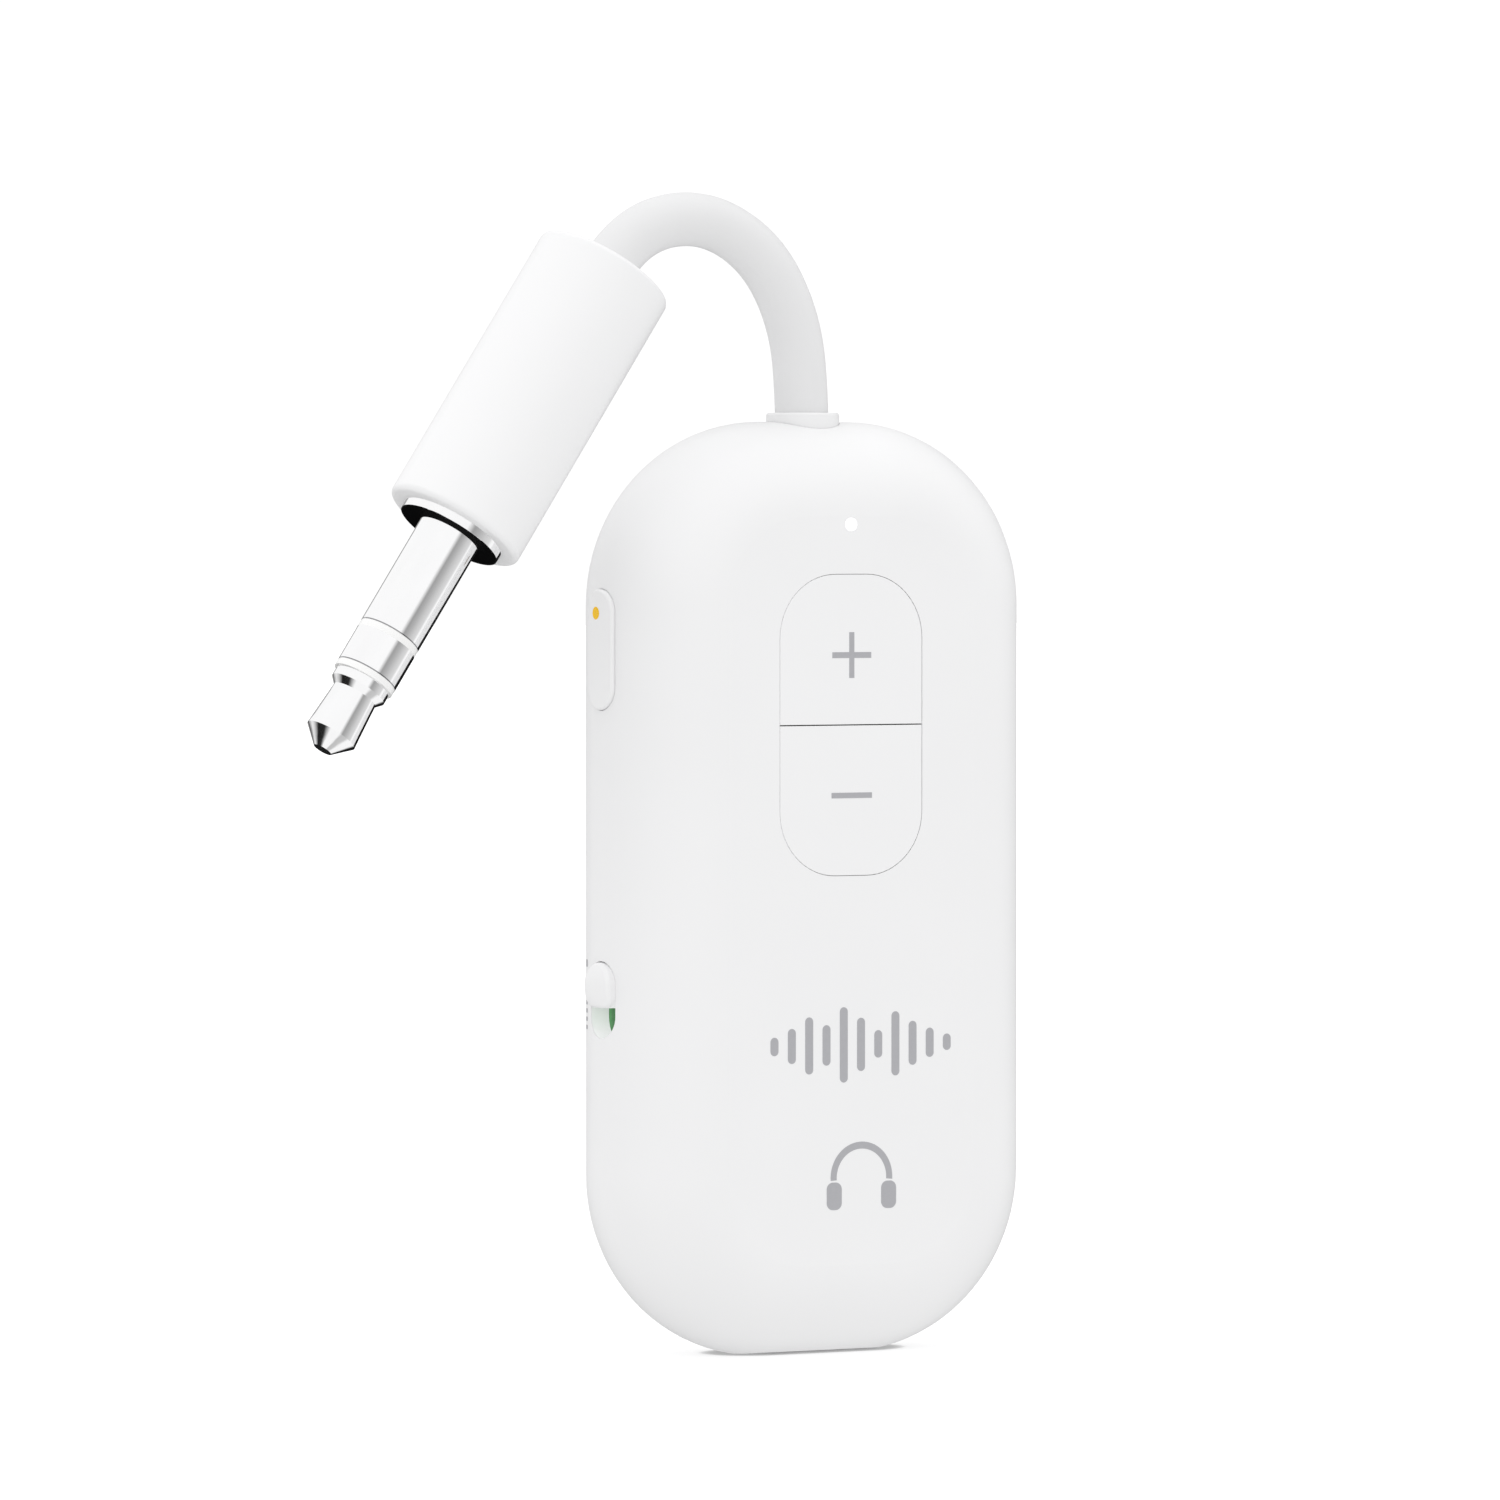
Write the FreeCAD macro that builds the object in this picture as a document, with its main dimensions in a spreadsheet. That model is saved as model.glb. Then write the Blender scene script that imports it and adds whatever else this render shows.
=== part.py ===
import FreeCAD, Part
import math
import os
import re

import Sketcher

# Pocket Bluetooth audio receiver: a rounded two-shell housing with volume keys on the front, a power key
# and a mode slide switch on the left side, a charging socket in the base and a short pigtail with a
# 3.5 mm plug. X is to the right, Y to the back and Z up; the origin is at the middle of the base, level
# with the lowest points of the socket's rim. All sizes are in millimetres.
SIZES = {
    # housing shells
    "body_width": 25.6, "body_height": 51.067, "body_depth": 10.5, "base_sink": 0.167,
    "corner_radius": 10.0, "edge_radius": 5.15, "wall": 1.1,
    "seam_depth": 3.6, "seam_gap": 0.06, "lip_inset": 2.2, "lip_thickness": 0.6, "lip_height": 1.4,
    "lip_overlap": 0.3,
    "boss_radius": 1.4, "boss_bore": 0.6, "boss_bore_depth": 3.0,
    "upper_boss_across": 6.9, "upper_boss_level": 44.0, "lower_boss_across": -7.0, "lower_boss_level": 10.5,
    # volume keys: one rounded window split into two keys
    "keypad_width": 9.0, "keypad_height": 16.42, "keypad_corner": 3.5, "keypad_level": 34.4,
    "key_gap": 0.025, "key_split": 0.06, "key_edge": 0.035, "key_thickness": 1.2, "key_flange": 0.5,
    "key_flange_thickness": 0.45, "key_post_radius": 1.2, "key_post_end": 2.6,
    "up_level": 38.2, "down_level": 30.6,
    # push switches on the board and their moving stems
    "switch_side": 3.2, "switch_height": 1.5, "switch_bore": 0.85, "switch_bore_depth": 1.0,
    "stem_radius": 0.8, "stem_length": 1.25,
    # controls on the left side
    "side_offset": -0.25, "side_gap": 0.03,
    "power_width": 2.5, "power_length": 6.62, "power_level": 38.52, "power_raise": 0.22,
    "power_flange_face": 11.2, "power_flange_width": 3.1, "power_flange_length": 7.6,
    "power_flange_thickness": 0.4, "power_post_radius": 0.8, "power_post_length": 0.5,
    "power_switch_level": 37.6, "power_switch_face": 9.9, "power_switch_height": 3.2,
    "power_switch_width": 2.5, "power_switch_depth": 1.5, "power_bore": 0.65,
    "power_stem_radius": 0.6, "power_stem_length": 1.1,
    "power_light_radius": 0.35, "power_light_level": 40.5, "power_light_offset": -0.07,
    "power_light_foot": 0.6, "power_light_foot_length": 0.3, "power_light_proud": 0.02,
    "mode_slot_width": 2.5, "mode_slot_length": 4.18, "mode_slot_level": 19.54, "mode_slot_corner": 1.2,
    "mode_knob_length": 2.47, "mode_knob_top": 21.57, "mode_raise": 0.5, "mode_knob_corner": 0.6,
    "mode_crown": 2.8, "mode_rim": 0.24,
    "carrier_gap": 0.05, "carrier_back": 11.0, "carrier_width": 3.3,
    "carrier_low": 17.0, "carrier_high": 23.05,
    "indicator_thickness": 0.06, "indicator_width": 3.0,
    "lever_level": 20.35, "lever_width": 0.9, "lever_height": 1.1, "lever_length": 1.5,
    "mode_switch_face": 10.6, "mode_switch_depth": 2.0, "mode_switch_width": 2.5,
    "mode_switch_height": 7.0, "mode_switch_level": 19.9,
    "mode_bore_depth": 1.3, "mode_bore_width": 1.0, "mode_bore_height": 2.6, "mode_bore_level": 19.7,
    "rim_radius": 0.16,
    # how far cutting shapes reach past the faces they cut, and what keeps a full round's sides from closing up
    "past": 1.0, "round_slack": 0.001,
    # circuit board
    "board_face": 0.55, "board_thickness": 0.8, "board_width": 22.8, "board_corner": 8.6,
    "board_low": 1.4, "board_full_height": 48.1, "board_high": 46.6,
    "socket_notch_width": 9.5, "socket_notch_top": 7.9,
    "mode_notch_edge": 8.4, "mode_notch_low": 15.5, "mode_notch_high": 23.9,
    "power_notch_edge": 10.3, "power_notch_low": 34.2, "power_notch_high": 42.8,
    "power_switch_notch": 8.2, "power_switch_notch_height": 3.6,
    "board_hole": 0.75, "screw_radius": 0.57, "screw_length": 3.0,
    "screw_head_radius": 1.2, "screw_head_height": 0.7,
    "recess_width": 0.3, "recess_length": 1.4, "recess_depth": 0.4,
    # parts on the board
    "shield_width": 8.4, "shield_height": 9.0, "shield_depth": 1.3, "shield_wall": 0.15,
    "shield_across": 1.5, "shield_level": 20.5, "radio_side": 5.0, "radio_depth": 0.8,
    "audio_side": 4.0, "audio_depth": 0.8, "audio_across": 6.6, "audio_level": 29.6,
    "charger_side": 3.0, "charger_depth": 0.8, "charger_across": 1.2, "charger_level": 11.6,
    "crystal_width": 2.0, "crystal_height": 2.5, "crystal_depth": 0.6,
    "crystal_across": -4.8, "crystal_level": 20.5,
    "antenna_width": 1.2, "antenna_height": 5.2, "antenna_depth": 1.0,
    "antenna_across": 9.8, "antenna_level": 35.5,
    "chip_width": 0.5, "chip_height": 1.0, "chip_depth": 0.45,
    "led_width": 1.0, "led_depth": 0.6, "led_height": 0.5, "power_led_inset": 0.1,
    "status_level": 45.3, "status_radius": 0.37, "status_bore": 0.39,
    "status_foot": 0.44, "status_foot_length": 0.5, "status_end": 1.25,
    # charging socket in the base
    "socket_width": 8.94, "socket_depth": 3.16, "socket_length": 7.3, "socket_low": 0.35,
    "socket_wall": 0.3, "socket_opening_gap": 0.15, "tongue_width": 6.7, "tongue_thickness": 0.7,
    "tongue_low": 0.95, "tongue_block": 1.2, "tongue_block_width": 5.7,
    "contact_width": 0.28, "contact_length": 3.2, "contact_thickness": 0.06, "contact_pitch": 0.5,
    "contact_inset": 0.3,
    # battery
    "battery_width": 17.0, "battery_height": 24.0, "battery_depth": 3.2, "battery_face": 0.65,
    "battery_level": 24.0, "battery_edge": 1.2, "pad_width": 13.0, "pad_height": 20.0, "pad_thickness": 0.3,
    "lead_radius": 0.3, "lead_gap": 0.02, "lead_across": 1.3,
    "lead_first_bend": 1.9, "lead_second_bend": 3.2, "lead_end": 5.4,
    # pigtail and its collar
    "cable_radius": 1.465, "collar_radius": 2.0, "collar_gap": 0.03, "collar_top": 51.4,
    "collar_flange_radius": 2.5, "collar_flange_low": 48.0, "collar_flange_high": 48.9, "collar_edge": 0.1,
    "crimp_radius": 1.95, "crimp_low": 47.3, "crimp_high": 47.9,
    "wire_radius": 0.25, "wire_gap": 0.02, "wire_first_bend": 0.5, "wire_second_bend": 1.4, "wire_length": 2.6,
    # 3.5 mm plug, measured along its axis from the barrel's cable end
    "plug_across": -12.38, "plug_level": 59.12, "plug_tilt": 33.8,
    "barrel_radius": 3.9, "barrel_length": 16.85, "barrel_edge": 0.3, "cable_bore_depth": 6.4,
    "lug_bore_radius": 2.3, "lug_bore_end": 11.4, "core_radius": 2.8,
    "shoulder_radius": 2.95, "shoulder_length": 0.45, "shoulder_rim": 0.07, "ring_insert": 0.35,
    "plug_radius": 1.75, "sleeve_root_radius": 1.45, "sleeve_length": 6.5,
    "spacer_length": 0.41, "spacer_radius": 1.74,
    "contact_ring_length": 2.1, "tip_spacer_length": 0.37, "core_rod_radius": 0.6, "tube_radius": 1.1,
    "tip_flange_radius": 1.595, "tip_flange_length": 0.55, "tip_cone_length": 0.37,
    "tip_neck_radius": 1.27, "tip_swell_radius": 1.45, "tip_swell_length": 2.56,
    "tip_end_length": 0.91, "tip_end_radius": 0.54,
}

# The pigtail's route in the middle plane as (x, z): up from its anchor in the housing, through the collar,
# over in a loop to the left and down the middle of the plug's barrel.
PIGTAIL_ROUTE = [(0, 47.2), (0, 51.9), (-0.5, 56.5), (-2.7, 60.3), (-6.5, 62.2), (-10.7, 61.3),
                 (-13.53, 57.4), (-15.9, 53.86)]
ARC_SHARE = 0.45

# Where the smallest chips sit on the board's front, as (x, z).
SMALL_CHIPS = [(-5.2, 25.6), (-3.9, 25.6), (6.9, 25.0), (8.1, 25.0), (9.3, 25.0), (9.6, 29.0), (9.6, 31.0),
               (4.2, 33.6), (-1.6, 13.4), (-3.0, 13.4), (4.2, 13.4), (5.6, 13.4), (-4.6, 16.4), (-3.2, 41.8)]

# The charging socket's tongue carries this many contacts on each face.
CONTACTS_PER_FACE = 12

# The plane of each sketch, by the direction in which its outline is padded.
PLANES = {"X": "YZ_Plane", "Y": "XZ_Plane", "Z": "XY_Plane"}
TURNS = {
    "X": FreeCAD.Rotation(FreeCAD.Vector(0, 1, 0), 90),
    "Y": FreeCAD.Rotation(FreeCAD.Vector(1, 0, 0), -90),
    "Z": FreeCAD.Rotation(),
}

doc = FreeCAD.newDocument("audio_receiver")


# ---- the spreadsheet and its formulas ----

def make_sheet():
    sheet = doc.addObject("Spreadsheet::Sheet", "sizes")
    for row, (name, amount) in enumerate(SIZES.items(), start=1):
        sheet.set(f"A{row}", name)
        sheet.set(f"B{row}", str(amount))
        sheet.setAlias(f"B{row}", name)
    doc.recompute()
    return sheet


sheet = make_sheet()


def formula(text):
    """A size formula with each cell's name pointing into the spreadsheet."""
    def cell(word):
        return "sizes." + word.group() if word.group() in SIZES else word.group()
    return re.sub(r"[a-z][a-z_]*", cell, str(text))


def number(text):
    """What a formula comes to now, for a sketch's first drawing and for shapes made in code."""
    return float(sheet.evalExpression(formula(text)))


def place(thing, x="0", y="0", z="0"):
    for axis, text in zip("xyz", (x, y, z)):
        thing.setExpression(f"Placement.Base.{axis}", formula(text))
    return thing


# ---- solids ----

def box(label, size, centre):
    """A block by its three sizes and its centre, all formulas."""
    block = doc.addObject("Part::Box", label)
    for name, text in zip(("Length", "Width", "Height"), size):
        block.setExpression(name, formula(text))
    place(block, *(f"({middle}) - ({text}) / 2" for middle, text in zip(centre, size)))
    return block


def cylinder(label, axis, radius, length, start):
    rod = doc.addObject("Part::Cylinder", label)
    rod.Placement = FreeCAD.Placement(FreeCAD.Vector(), TURNS[axis])
    rod.setExpression("Radius", formula(radius))
    rod.setExpression("Height", formula(length))
    return place(rod, *start)


def new_body(label, at=("0", "0", "0")):
    return place(doc.addObject("PartDesign::Body", label), *at)


def new_sketch(body, plane, depth="0"):
    """A sketch on one of the body's own planes, moved along the padding direction by depth."""
    sketch = body.newObject("Sketcher::SketchObject", body.Name + "_sketch")
    origin_plane = next(f for f in body.Origin.OriginFeatures if f.Role == plane)
    sketch.AttachmentSupport = [(origin_plane, "")]
    sketch.MapMode = "FlatFace"
    side = "-" if plane == "XZ_Plane" else ""
    sketch.setExpression("AttachmentOffset.Base.z", f"{side}({formula(depth)})")
    return sketch


def draw_rounded_rectangle(sketch, width, height, radius):
    """Four sides and four corner arcs about the sketch's origin, sized by formulas."""
    w, h, r = number(width) / 2, number(height) / 2, number(radius)
    corners = [(1, 1), (-1, 1), (-1, -1), (1, -1)]
    for i, (sx, sy) in enumerate(corners):
        middle = FreeCAD.Vector(sx * (w - r), sy * (h - r), 0)
        circle = Part.Circle(middle, FreeCAD.Vector(0, 0, 1), r)
        sketch.addGeometry(Part.ArcOfCircle(circle, i * math.pi / 2, (i + 1) * math.pi / 2), False)
    for i in range(4):
        start = sketch.getPoint(i, 2)
        end = sketch.getPoint((i + 1) % 4, 1)
        sketch.addGeometry(Part.LineSegment(start, end), False)
    for i in range(4):
        sketch.addConstraint(Sketcher.Constraint("Tangent", i, 2, 4 + i, 1))
        sketch.addConstraint(Sketcher.Constraint("Tangent", 4 + i, 2, (i + 1) % 4, 1))
        sketch.addConstraint(Sketcher.Constraint("Vertical" if i % 2 else "Horizontal", 4 + i))
    for i in range(1, 4):
        sketch.addConstraint(Sketcher.Constraint("Equal", 0, i))
    sketch.addConstraint(Sketcher.Constraint("Symmetric", 0, 3, 2, 3, -1, 1))
    for name, kind, text in (("across", "DistanceX", f"({width}) - 2 * ({radius})"),
                             ("along", "DistanceY", f"({height}) - 2 * ({radius})")):
        row = sketch.addConstraint(Sketcher.Constraint(kind, 2, 3, 0, 3, number(text)))
        sketch.renameConstraint(row, name)
        sketch.setExpression(f"Constraints.{name}", formula(text))
    row = sketch.addConstraint(Sketcher.Constraint("Radius", 0, r))
    sketch.renameConstraint(row, "corner")
    sketch.setExpression("Constraints.corner", formula(radius))


def draw_circle(sketch, radius, x, y):
    circle = Part.Circle(FreeCAD.Vector(number(x), number(y), 0), FreeCAD.Vector(0, 0, 1), number(radius))
    sketch.addGeometry(circle, False)
    for name, kind, text in (("across", "DistanceX", x), ("along", "DistanceY", y)):
        if number(text) == 0:
            axis = -2 if kind == "DistanceX" else -1
            sketch.addConstraint(Sketcher.Constraint("PointOnObject", 0, 3, axis))
            continue
        row = sketch.addConstraint(Sketcher.Constraint(kind, -1, 1, 0, 3, number(text)))
        sketch.renameConstraint(row, name)
        sketch.setExpression(f"Constraints.{name}", formula(text))
    row = sketch.addConstraint(Sketcher.Constraint("Radius", 0, number(radius)))
    sketch.renameConstraint(row, "radius")
    sketch.setExpression("Constraints.radius", formula(radius))


def pad(body, sketch, facing, length, middle=False):
    """Pads a sketch towards +X, +Y or +Z, or both ways about its plane."""
    feature = body.newObject("PartDesign::Pad", body.Name + "_pad")
    feature.Profile = sketch
    feature.Midplane = middle
    feature.Reversed = facing == "Y" and not middle
    feature.setExpression("Length", formula(length))
    return feature


def prism(label, facing, outline, length, at):
    """A rounded rectangle (width, height, corner radius) padded from at towards +X, +Y or +Z."""
    body = new_body(label, at)
    sketch = new_sketch(body, PLANES[facing])
    draw_rounded_rectangle(sketch, *outline)
    pad(body, sketch, facing, length)
    return body


def turned(label, outline, at=("0", "0", "0")):
    """A solid of revolution about its own Z axis. outline is a loop of (radius, height) formulas."""
    body = new_body(label, at)
    sketch = new_sketch(body, "XZ_Plane")
    points = [FreeCAD.Vector(number(radius), number(height), 0) for radius, height in outline]
    for start, end in zip(points, points[1:] + points[:1]):
        sketch.addGeometry(Part.LineSegment(start, end), False)
    for i, (radius, height) in enumerate(outline):
        before = (i - 1) % len(outline)
        sketch.addConstraint(Sketcher.Constraint("Coincident", before, 2, i, 1))
        for name, kind, text, axis in ((f"radius{i}", "DistanceX", radius, -2),
                                       (f"height{i}", "DistanceY", height, -1)):
            if number(text) == 0:
                sketch.addConstraint(Sketcher.Constraint("PointOnObject", i, 1, axis))
                continue
            row = sketch.addConstraint(Sketcher.Constraint(kind, -1, 1, i, 1, number(text)))
            sketch.renameConstraint(row, name)
            sketch.setExpression(f"Constraints.{name}", formula(text))
    feature = body.newObject("PartDesign::Revolution", label + "_revolution")
    feature.Profile = sketch
    feature.ReferenceAxis = (sketch, ["V_Axis"])
    feature.Angle = 360
    return body


def fillet_body(body, radius, chosen):
    """Rounds the chosen edges of a body's last feature."""
    doc.recompute()
    last = body.Tip
    names = [f"Edge{i}" for i, edge in enumerate(last.Shape.Edges, start=1) if chosen(edge)]
    fillet = body.newObject("PartDesign::Fillet", body.Name + "_fillet")
    fillet.Base = (last, names)
    fillet.setExpression("Radius", formula(radius))


def cut(label, base, tools):
    result = doc.addObject("Part::Cut", label)
    result.Base = base
    result.Tool = tools[0] if len(tools) == 1 else fuse(label + "_tools", tools)
    return result


def fuse(label, pieces):
    result = doc.addObject("Part::MultiFuse", label)
    result.Shapes = pieces
    return result


def common(label, base, tool):
    result = doc.addObject("Part::Common", label)
    result.Base = base
    result.Tool = tool
    return result


def group(label, pieces):
    """Separate solids kept in one node."""
    result = doc.addObject("Part::Compound", label)
    result.Links = pieces
    return result


def round_edges(label, base, radius, chosen):
    """Rounds the edges that pass the test."""
    doc.recompute()
    size = number(radius)
    edges = [(i, size, size) for i, edge in enumerate(base.Shape.Edges, start=1) if chosen(edge)]
    result = doc.addObject("Part::Fillet", label)
    result.Base = base
    result.Edges = edges
    return result


def bent_path(points):
    """Straight runs joined by tangent arcs, each arc as large as its two runs allow."""
    edges, radii = [], []
    here = points[0]
    for before, corner, after in zip(points, points[1:], points[2:]):
        into, out = (corner - before).normalize(), (after - corner).normalize()
        reach = ARC_SHARE * min((corner - before).Length, (after - corner).Length)
        half_turn = into.getAngle(out) / 2
        start, end = corner - into * reach, corner + out * reach
        radius = reach / math.tan(half_turn)
        inward = (out - into).normalize()
        middle = corner + inward * (radius / math.cos(half_turn) - radius)
        edges += [Part.LineSegment(here, start).toShape(), Part.Arc(start, middle, end).toShape()]
        radii.append(radius)
        here = end
    edges.append(Part.LineSegment(here, points[-1]).toShape())
    return Part.Wire(edges), radii


def tube(label, points, radius):
    """A round tube along a bent path, checked against its section times its length."""
    path, radii = bent_path([FreeCAD.Vector(*point) for point in points])
    size = number(radius)
    start = path.Edges[0].valueAt(path.Edges[0].FirstParameter)
    heading = path.Edges[0].tangentAt(path.Edges[0].FirstParameter)
    profile = Part.Wire([Part.Circle(start, heading, size).toShape()])
    solid = path.makePipeShell([profile], True, False)
    expected = math.pi * size ** 2 * path.Length
    if abs(solid.Volume - expected) > 0.01 * expected:
        raise ValueError(f"{label}: volume {solid.Volume:.2f}, expected {expected:.2f}")
    print(f"{label}: length {path.Length:.2f} mm, arc radii {[round(r, 1) for r in radii]}")
    result = doc.addObject("Part::Feature", label)
    result.Shape = solid
    return result


# ---- housing ----

FRONT = "(-body_depth / 2)"
SIDE = "(-body_width / 2)"
MIDDLE = "(body_height / 2 - base_sink)"


def envelope(label, inset):
    """The housing's pebble shape, drawn in from its outside by inset."""
    body = new_body(label, ("0", "0", MIDDLE))
    sketch = new_sketch(body, "XZ_Plane")
    draw_rounded_rectangle(sketch, f"body_width - 2 * {inset}", f"body_height - 2 * {inset}",
                           f"corner_radius - {inset}")
    pad(body, sketch, "Y", f"body_depth - 2 * {inset}", middle=True)
    half = number(f"body_depth / 2 - {inset}")
    fillet_body(body, f"edge_radius - {inset}",
                lambda edge: all(abs(abs(corner.Y) - half) < 1e-6 for corner in edge.Vertexes))
    return body


def bosses():
    """Two posts inside the front shell that the board is screwed to."""
    length = "body_depth / 2 - wall / 2 - board_face"
    return [cylinder(f"{place_name}_boss", "Y", "boss_radius", length,
                     (f"{place_name}_boss_across", f"{FRONT} + wall / 2", f"{place_name}_boss_level"))
            for place_name in ("upper", "lower")]


def boss_bores():
    return [cylinder(f"{place_name}_boss_bore", "Y", "boss_bore", "boss_bore_depth",
                     (f"{place_name}_boss_across", "-board_face - boss_bore_depth",
                      f"{place_name}_boss_level"))
            for place_name in ("upper", "lower")]


def housing_openings():
    keypad = prism("keypad_window", "Y", ("keypad_width", "keypad_height", "keypad_corner"),
                   "wall + past", ("0", f"{FRONT} - past / 2", "keypad_level"))
    power = prism("power_window", "X", ("power_width", "power_length", "power_width / 2 - round_slack"),
                  "wall + 2 * past", (f"{SIDE} - past", "side_offset", "power_level"))
    mode = prism("mode_window", "X", ("mode_slot_width", "mode_slot_length", "mode_slot_corner"),
                 "wall + 2 * past", (f"{SIDE} - past", "side_offset", "mode_slot_level"))
    status = cylinder("status_window", "Y", "status_bore", "wall + past",
                      ("0", f"{FRONT} - past / 2", "status_level"))
    cable = cylinder("collar_opening", "Z", "collar_radius + collar_gap", "wall + 3 * past",
                     ("0", "0", "body_height - wall - 2 * past"))
    socket = prism("socket_opening", "Z",
                   ("socket_width + 2 * socket_opening_gap", "socket_depth + 2 * socket_opening_gap",
                    "socket_depth / 2 + socket_opening_gap - round_slack"),
                   "wall + 3 * past", ("0", "0", "-past"))
    return [keypad, power, mode, status, cable, socket]


def make_housing():
    outer = envelope("housing_blank", "0")
    cavity = envelope("housing_cavity", "wall")
    big = "2 * body_width"
    front_space = box("front_space", (big, "body_depth", "2 * body_height"),
                      ("0", "seam_depth - body_depth / 2", MIDDLE))
    rear_space = box("rear_space", (big, "body_depth", "2 * body_height"),
                     ("0", "seam_depth + seam_gap + body_depth / 2", MIDDLE))
    front_shell = cut("front_shell", common("front_blank", outer, front_space), [cavity])
    front = cut("front_housing", fuse("front_with_bosses", [front_shell, *bosses()]),
                housing_openings() + boss_bores())
    rear_shell = cut("rear_shell", common("rear_blank", outer, rear_space), [cavity])
    outline = ("body_width - 2 * wall - 2 * lip_inset", "body_height - 2 * wall - 2 * lip_inset",
               "corner_radius - wall - lip_inset")
    inner_outline = tuple(f"{text} - {times} * lip_thickness" for text, times in zip(outline, (2, 2, 1)))
    lip_start = "seam_depth + lip_overlap - lip_height"
    lip = cut("rear_lip", prism("rear_lip_blank", "Y", outline, "lip_height", ("0", lip_start, MIDDLE)),
              [prism("rear_lip_inside", "Y", inner_outline, "lip_height + 2 * past",
                     ("0", f"{lip_start} - past", MIDDLE))])
    rear = fuse("rear_cover", [rear_shell, lip])
    return [front, rear]


# ---- volume keys ----

def make_volume_key(name, side):
    """One half of the split key pair, with its flange behind the wall and its post."""
    body = new_body(f"{name}_cap", ("0", FRONT, "keypad_level"))
    layers = ((0, "key_thickness", "-key_gap"), ("key_thickness", "key_flange_thickness", "key_flange"))
    for depth, thickness, grow in layers:
        sketch = new_sketch(body, "XZ_Plane", depth)
        draw_rounded_rectangle(sketch, f"keypad_width + 2 * ({grow})", f"keypad_height + 2 * ({grow})",
                               f"keypad_corner + ({grow})")
        pad(body, sketch, "Y", thickness)
    post_start = "key_thickness + key_flange_thickness"
    sketch = new_sketch(body, "XZ_Plane", post_start)
    draw_circle(sketch, "key_post_radius", "0", f"{name.split('_')[1]}_level - keypad_level")
    pad(body, sketch, "Y", f"body_depth / 2 - key_post_end - ({post_start})")
    keep = box(f"{name}_half", ("2 * keypad_width", "body_depth", "keypad_height"),
               ("0", FRONT, f"keypad_level + {side} * (keypad_height + key_split) / 2"))
    front = number(FRONT)
    return round_edges(f"{name}_button", common(f"{name}_sharp", body, keep), "key_edge",
                       lambda edge: all(abs(corner.Y - front) < 1e-6 for corner in edge.Vertexes))


def make_volume_switch(name, level):
    base = "-board_face - switch_height"
    body = box(f"{name}_switch_blank", ("switch_side", "switch_height", "switch_side"),
               ("0", f"{base} + switch_height / 2", level))
    bore = cylinder(f"{name}_switch_bore", "Y", "switch_bore", "switch_bore_depth", ("0", base, level))
    stem = cylinder(f"{name}_stem", "Y", "stem_radius", "stem_length", ("0", "-key_post_end", level))
    return [cut(f"{name}_switch", body, [bore]), stem]


def make_volume_keys():
    nodes = []
    for name, side, level in (("volume_up", 1, "up_level"), ("volume_down", -1, "down_level")):
        nodes += [make_volume_key(name, side), *make_volume_switch(name, level)]
    return nodes


# ---- controls on the left side ----

def side_skin(label, proud):
    """A long cylinder whose left flank lies parallel to the housing's side, proud of it."""
    return cylinder(label, "Z", f"body_depth / 2 + {proud}", "body_height",
                    ("(body_depth - body_width) / 2", "0", "0"))


def left_of(edge, limit):
    return all(corner.X < number(limit) for corner in edge.Vertexes)


def make_power_key():
    cap = prism("power_cap", "X",
                ("power_width - 2 * side_gap", "power_length - 2 * side_gap",
                 "power_width / 2 - side_gap - round_slack"),
                "body_width / 2 + past - power_flange_face", (f"{SIDE} - past", "side_offset", "power_level"))
    flange = prism("power_flange", "X",
                   ("power_flange_width", "power_flange_length", "power_flange_width / 2 - round_slack"),
                   "power_flange_thickness", ("-power_flange_face", "side_offset", "power_level"))
    back = "-power_flange_face + power_flange_thickness"
    post = cylinder("power_post", "X", "power_post_radius", "power_post_length",
                    (back, "side_offset", "power_switch_level"))
    blank = common("power_blank", fuse("power_solid", [cap, flange, post]),
                   side_skin("power_skin", "power_raise"))
    rounded = round_edges("power_rounded", blank, "rim_radius",
                          lambda edge: left_of(edge, f"({SIDE} - power_flange_face) / 2"))
    reach = "body_width / 2 + power_raise - power_flange_face + power_flange_thickness"
    pipe_bore = cylinder("power_light_bore", "X", "power_light_radius", f"{reach} + past",
                         (f"{back} - ({reach})", "power_light_offset", "power_light_level"))
    foot_bore = cylinder("power_light_foot_bore", "X", "power_light_foot", "power_light_foot_length",
                         (f"{back} - power_light_foot_length", "power_light_offset", "power_light_level"))
    button = cut("power_button", rounded, [pipe_bore, foot_bore])
    pipe = cylinder("power_pipe", "X", "power_light_radius", reach,
                    (f"{back} - ({reach})", "power_light_offset", "power_light_level"))
    foot = cylinder("power_pipe_foot", "X", "power_light_foot", "power_light_foot_length",
                    (f"{back} - power_light_foot_length", "power_light_offset", "power_light_level"))
    light = common("power_light_pipe", fuse("power_pipe_blank", [pipe, foot]),
                   side_skin("power_light_skin", "power_raise + power_light_proud"))
    stem = cylinder("power_stem", "X", "power_stem_radius", "power_stem_length",
                    (f"{back} + power_post_length", "side_offset", "power_switch_level"))
    return [button, light, stem]


def make_power_switch():
    body = box("power_switch_blank", ("power_switch_depth", "power_switch_width", "power_switch_height"),
               ("-power_switch_face + power_switch_depth / 2", "side_offset", "power_switch_level"))
    bore = cylinder("power_switch_bore", "X", "power_bore", "switch_bore_depth",
                    ("-power_switch_face", "side_offset", "power_switch_level"))
    led = box("power_led", ("led_width", "led_depth", "led_height"),
              ("-power_notch_edge + led_width / 2 + power_led_inset", "-board_face - led_depth / 2",
               "power_light_level"))
    return [cut("power_switch", body, [bore]), led]


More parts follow.
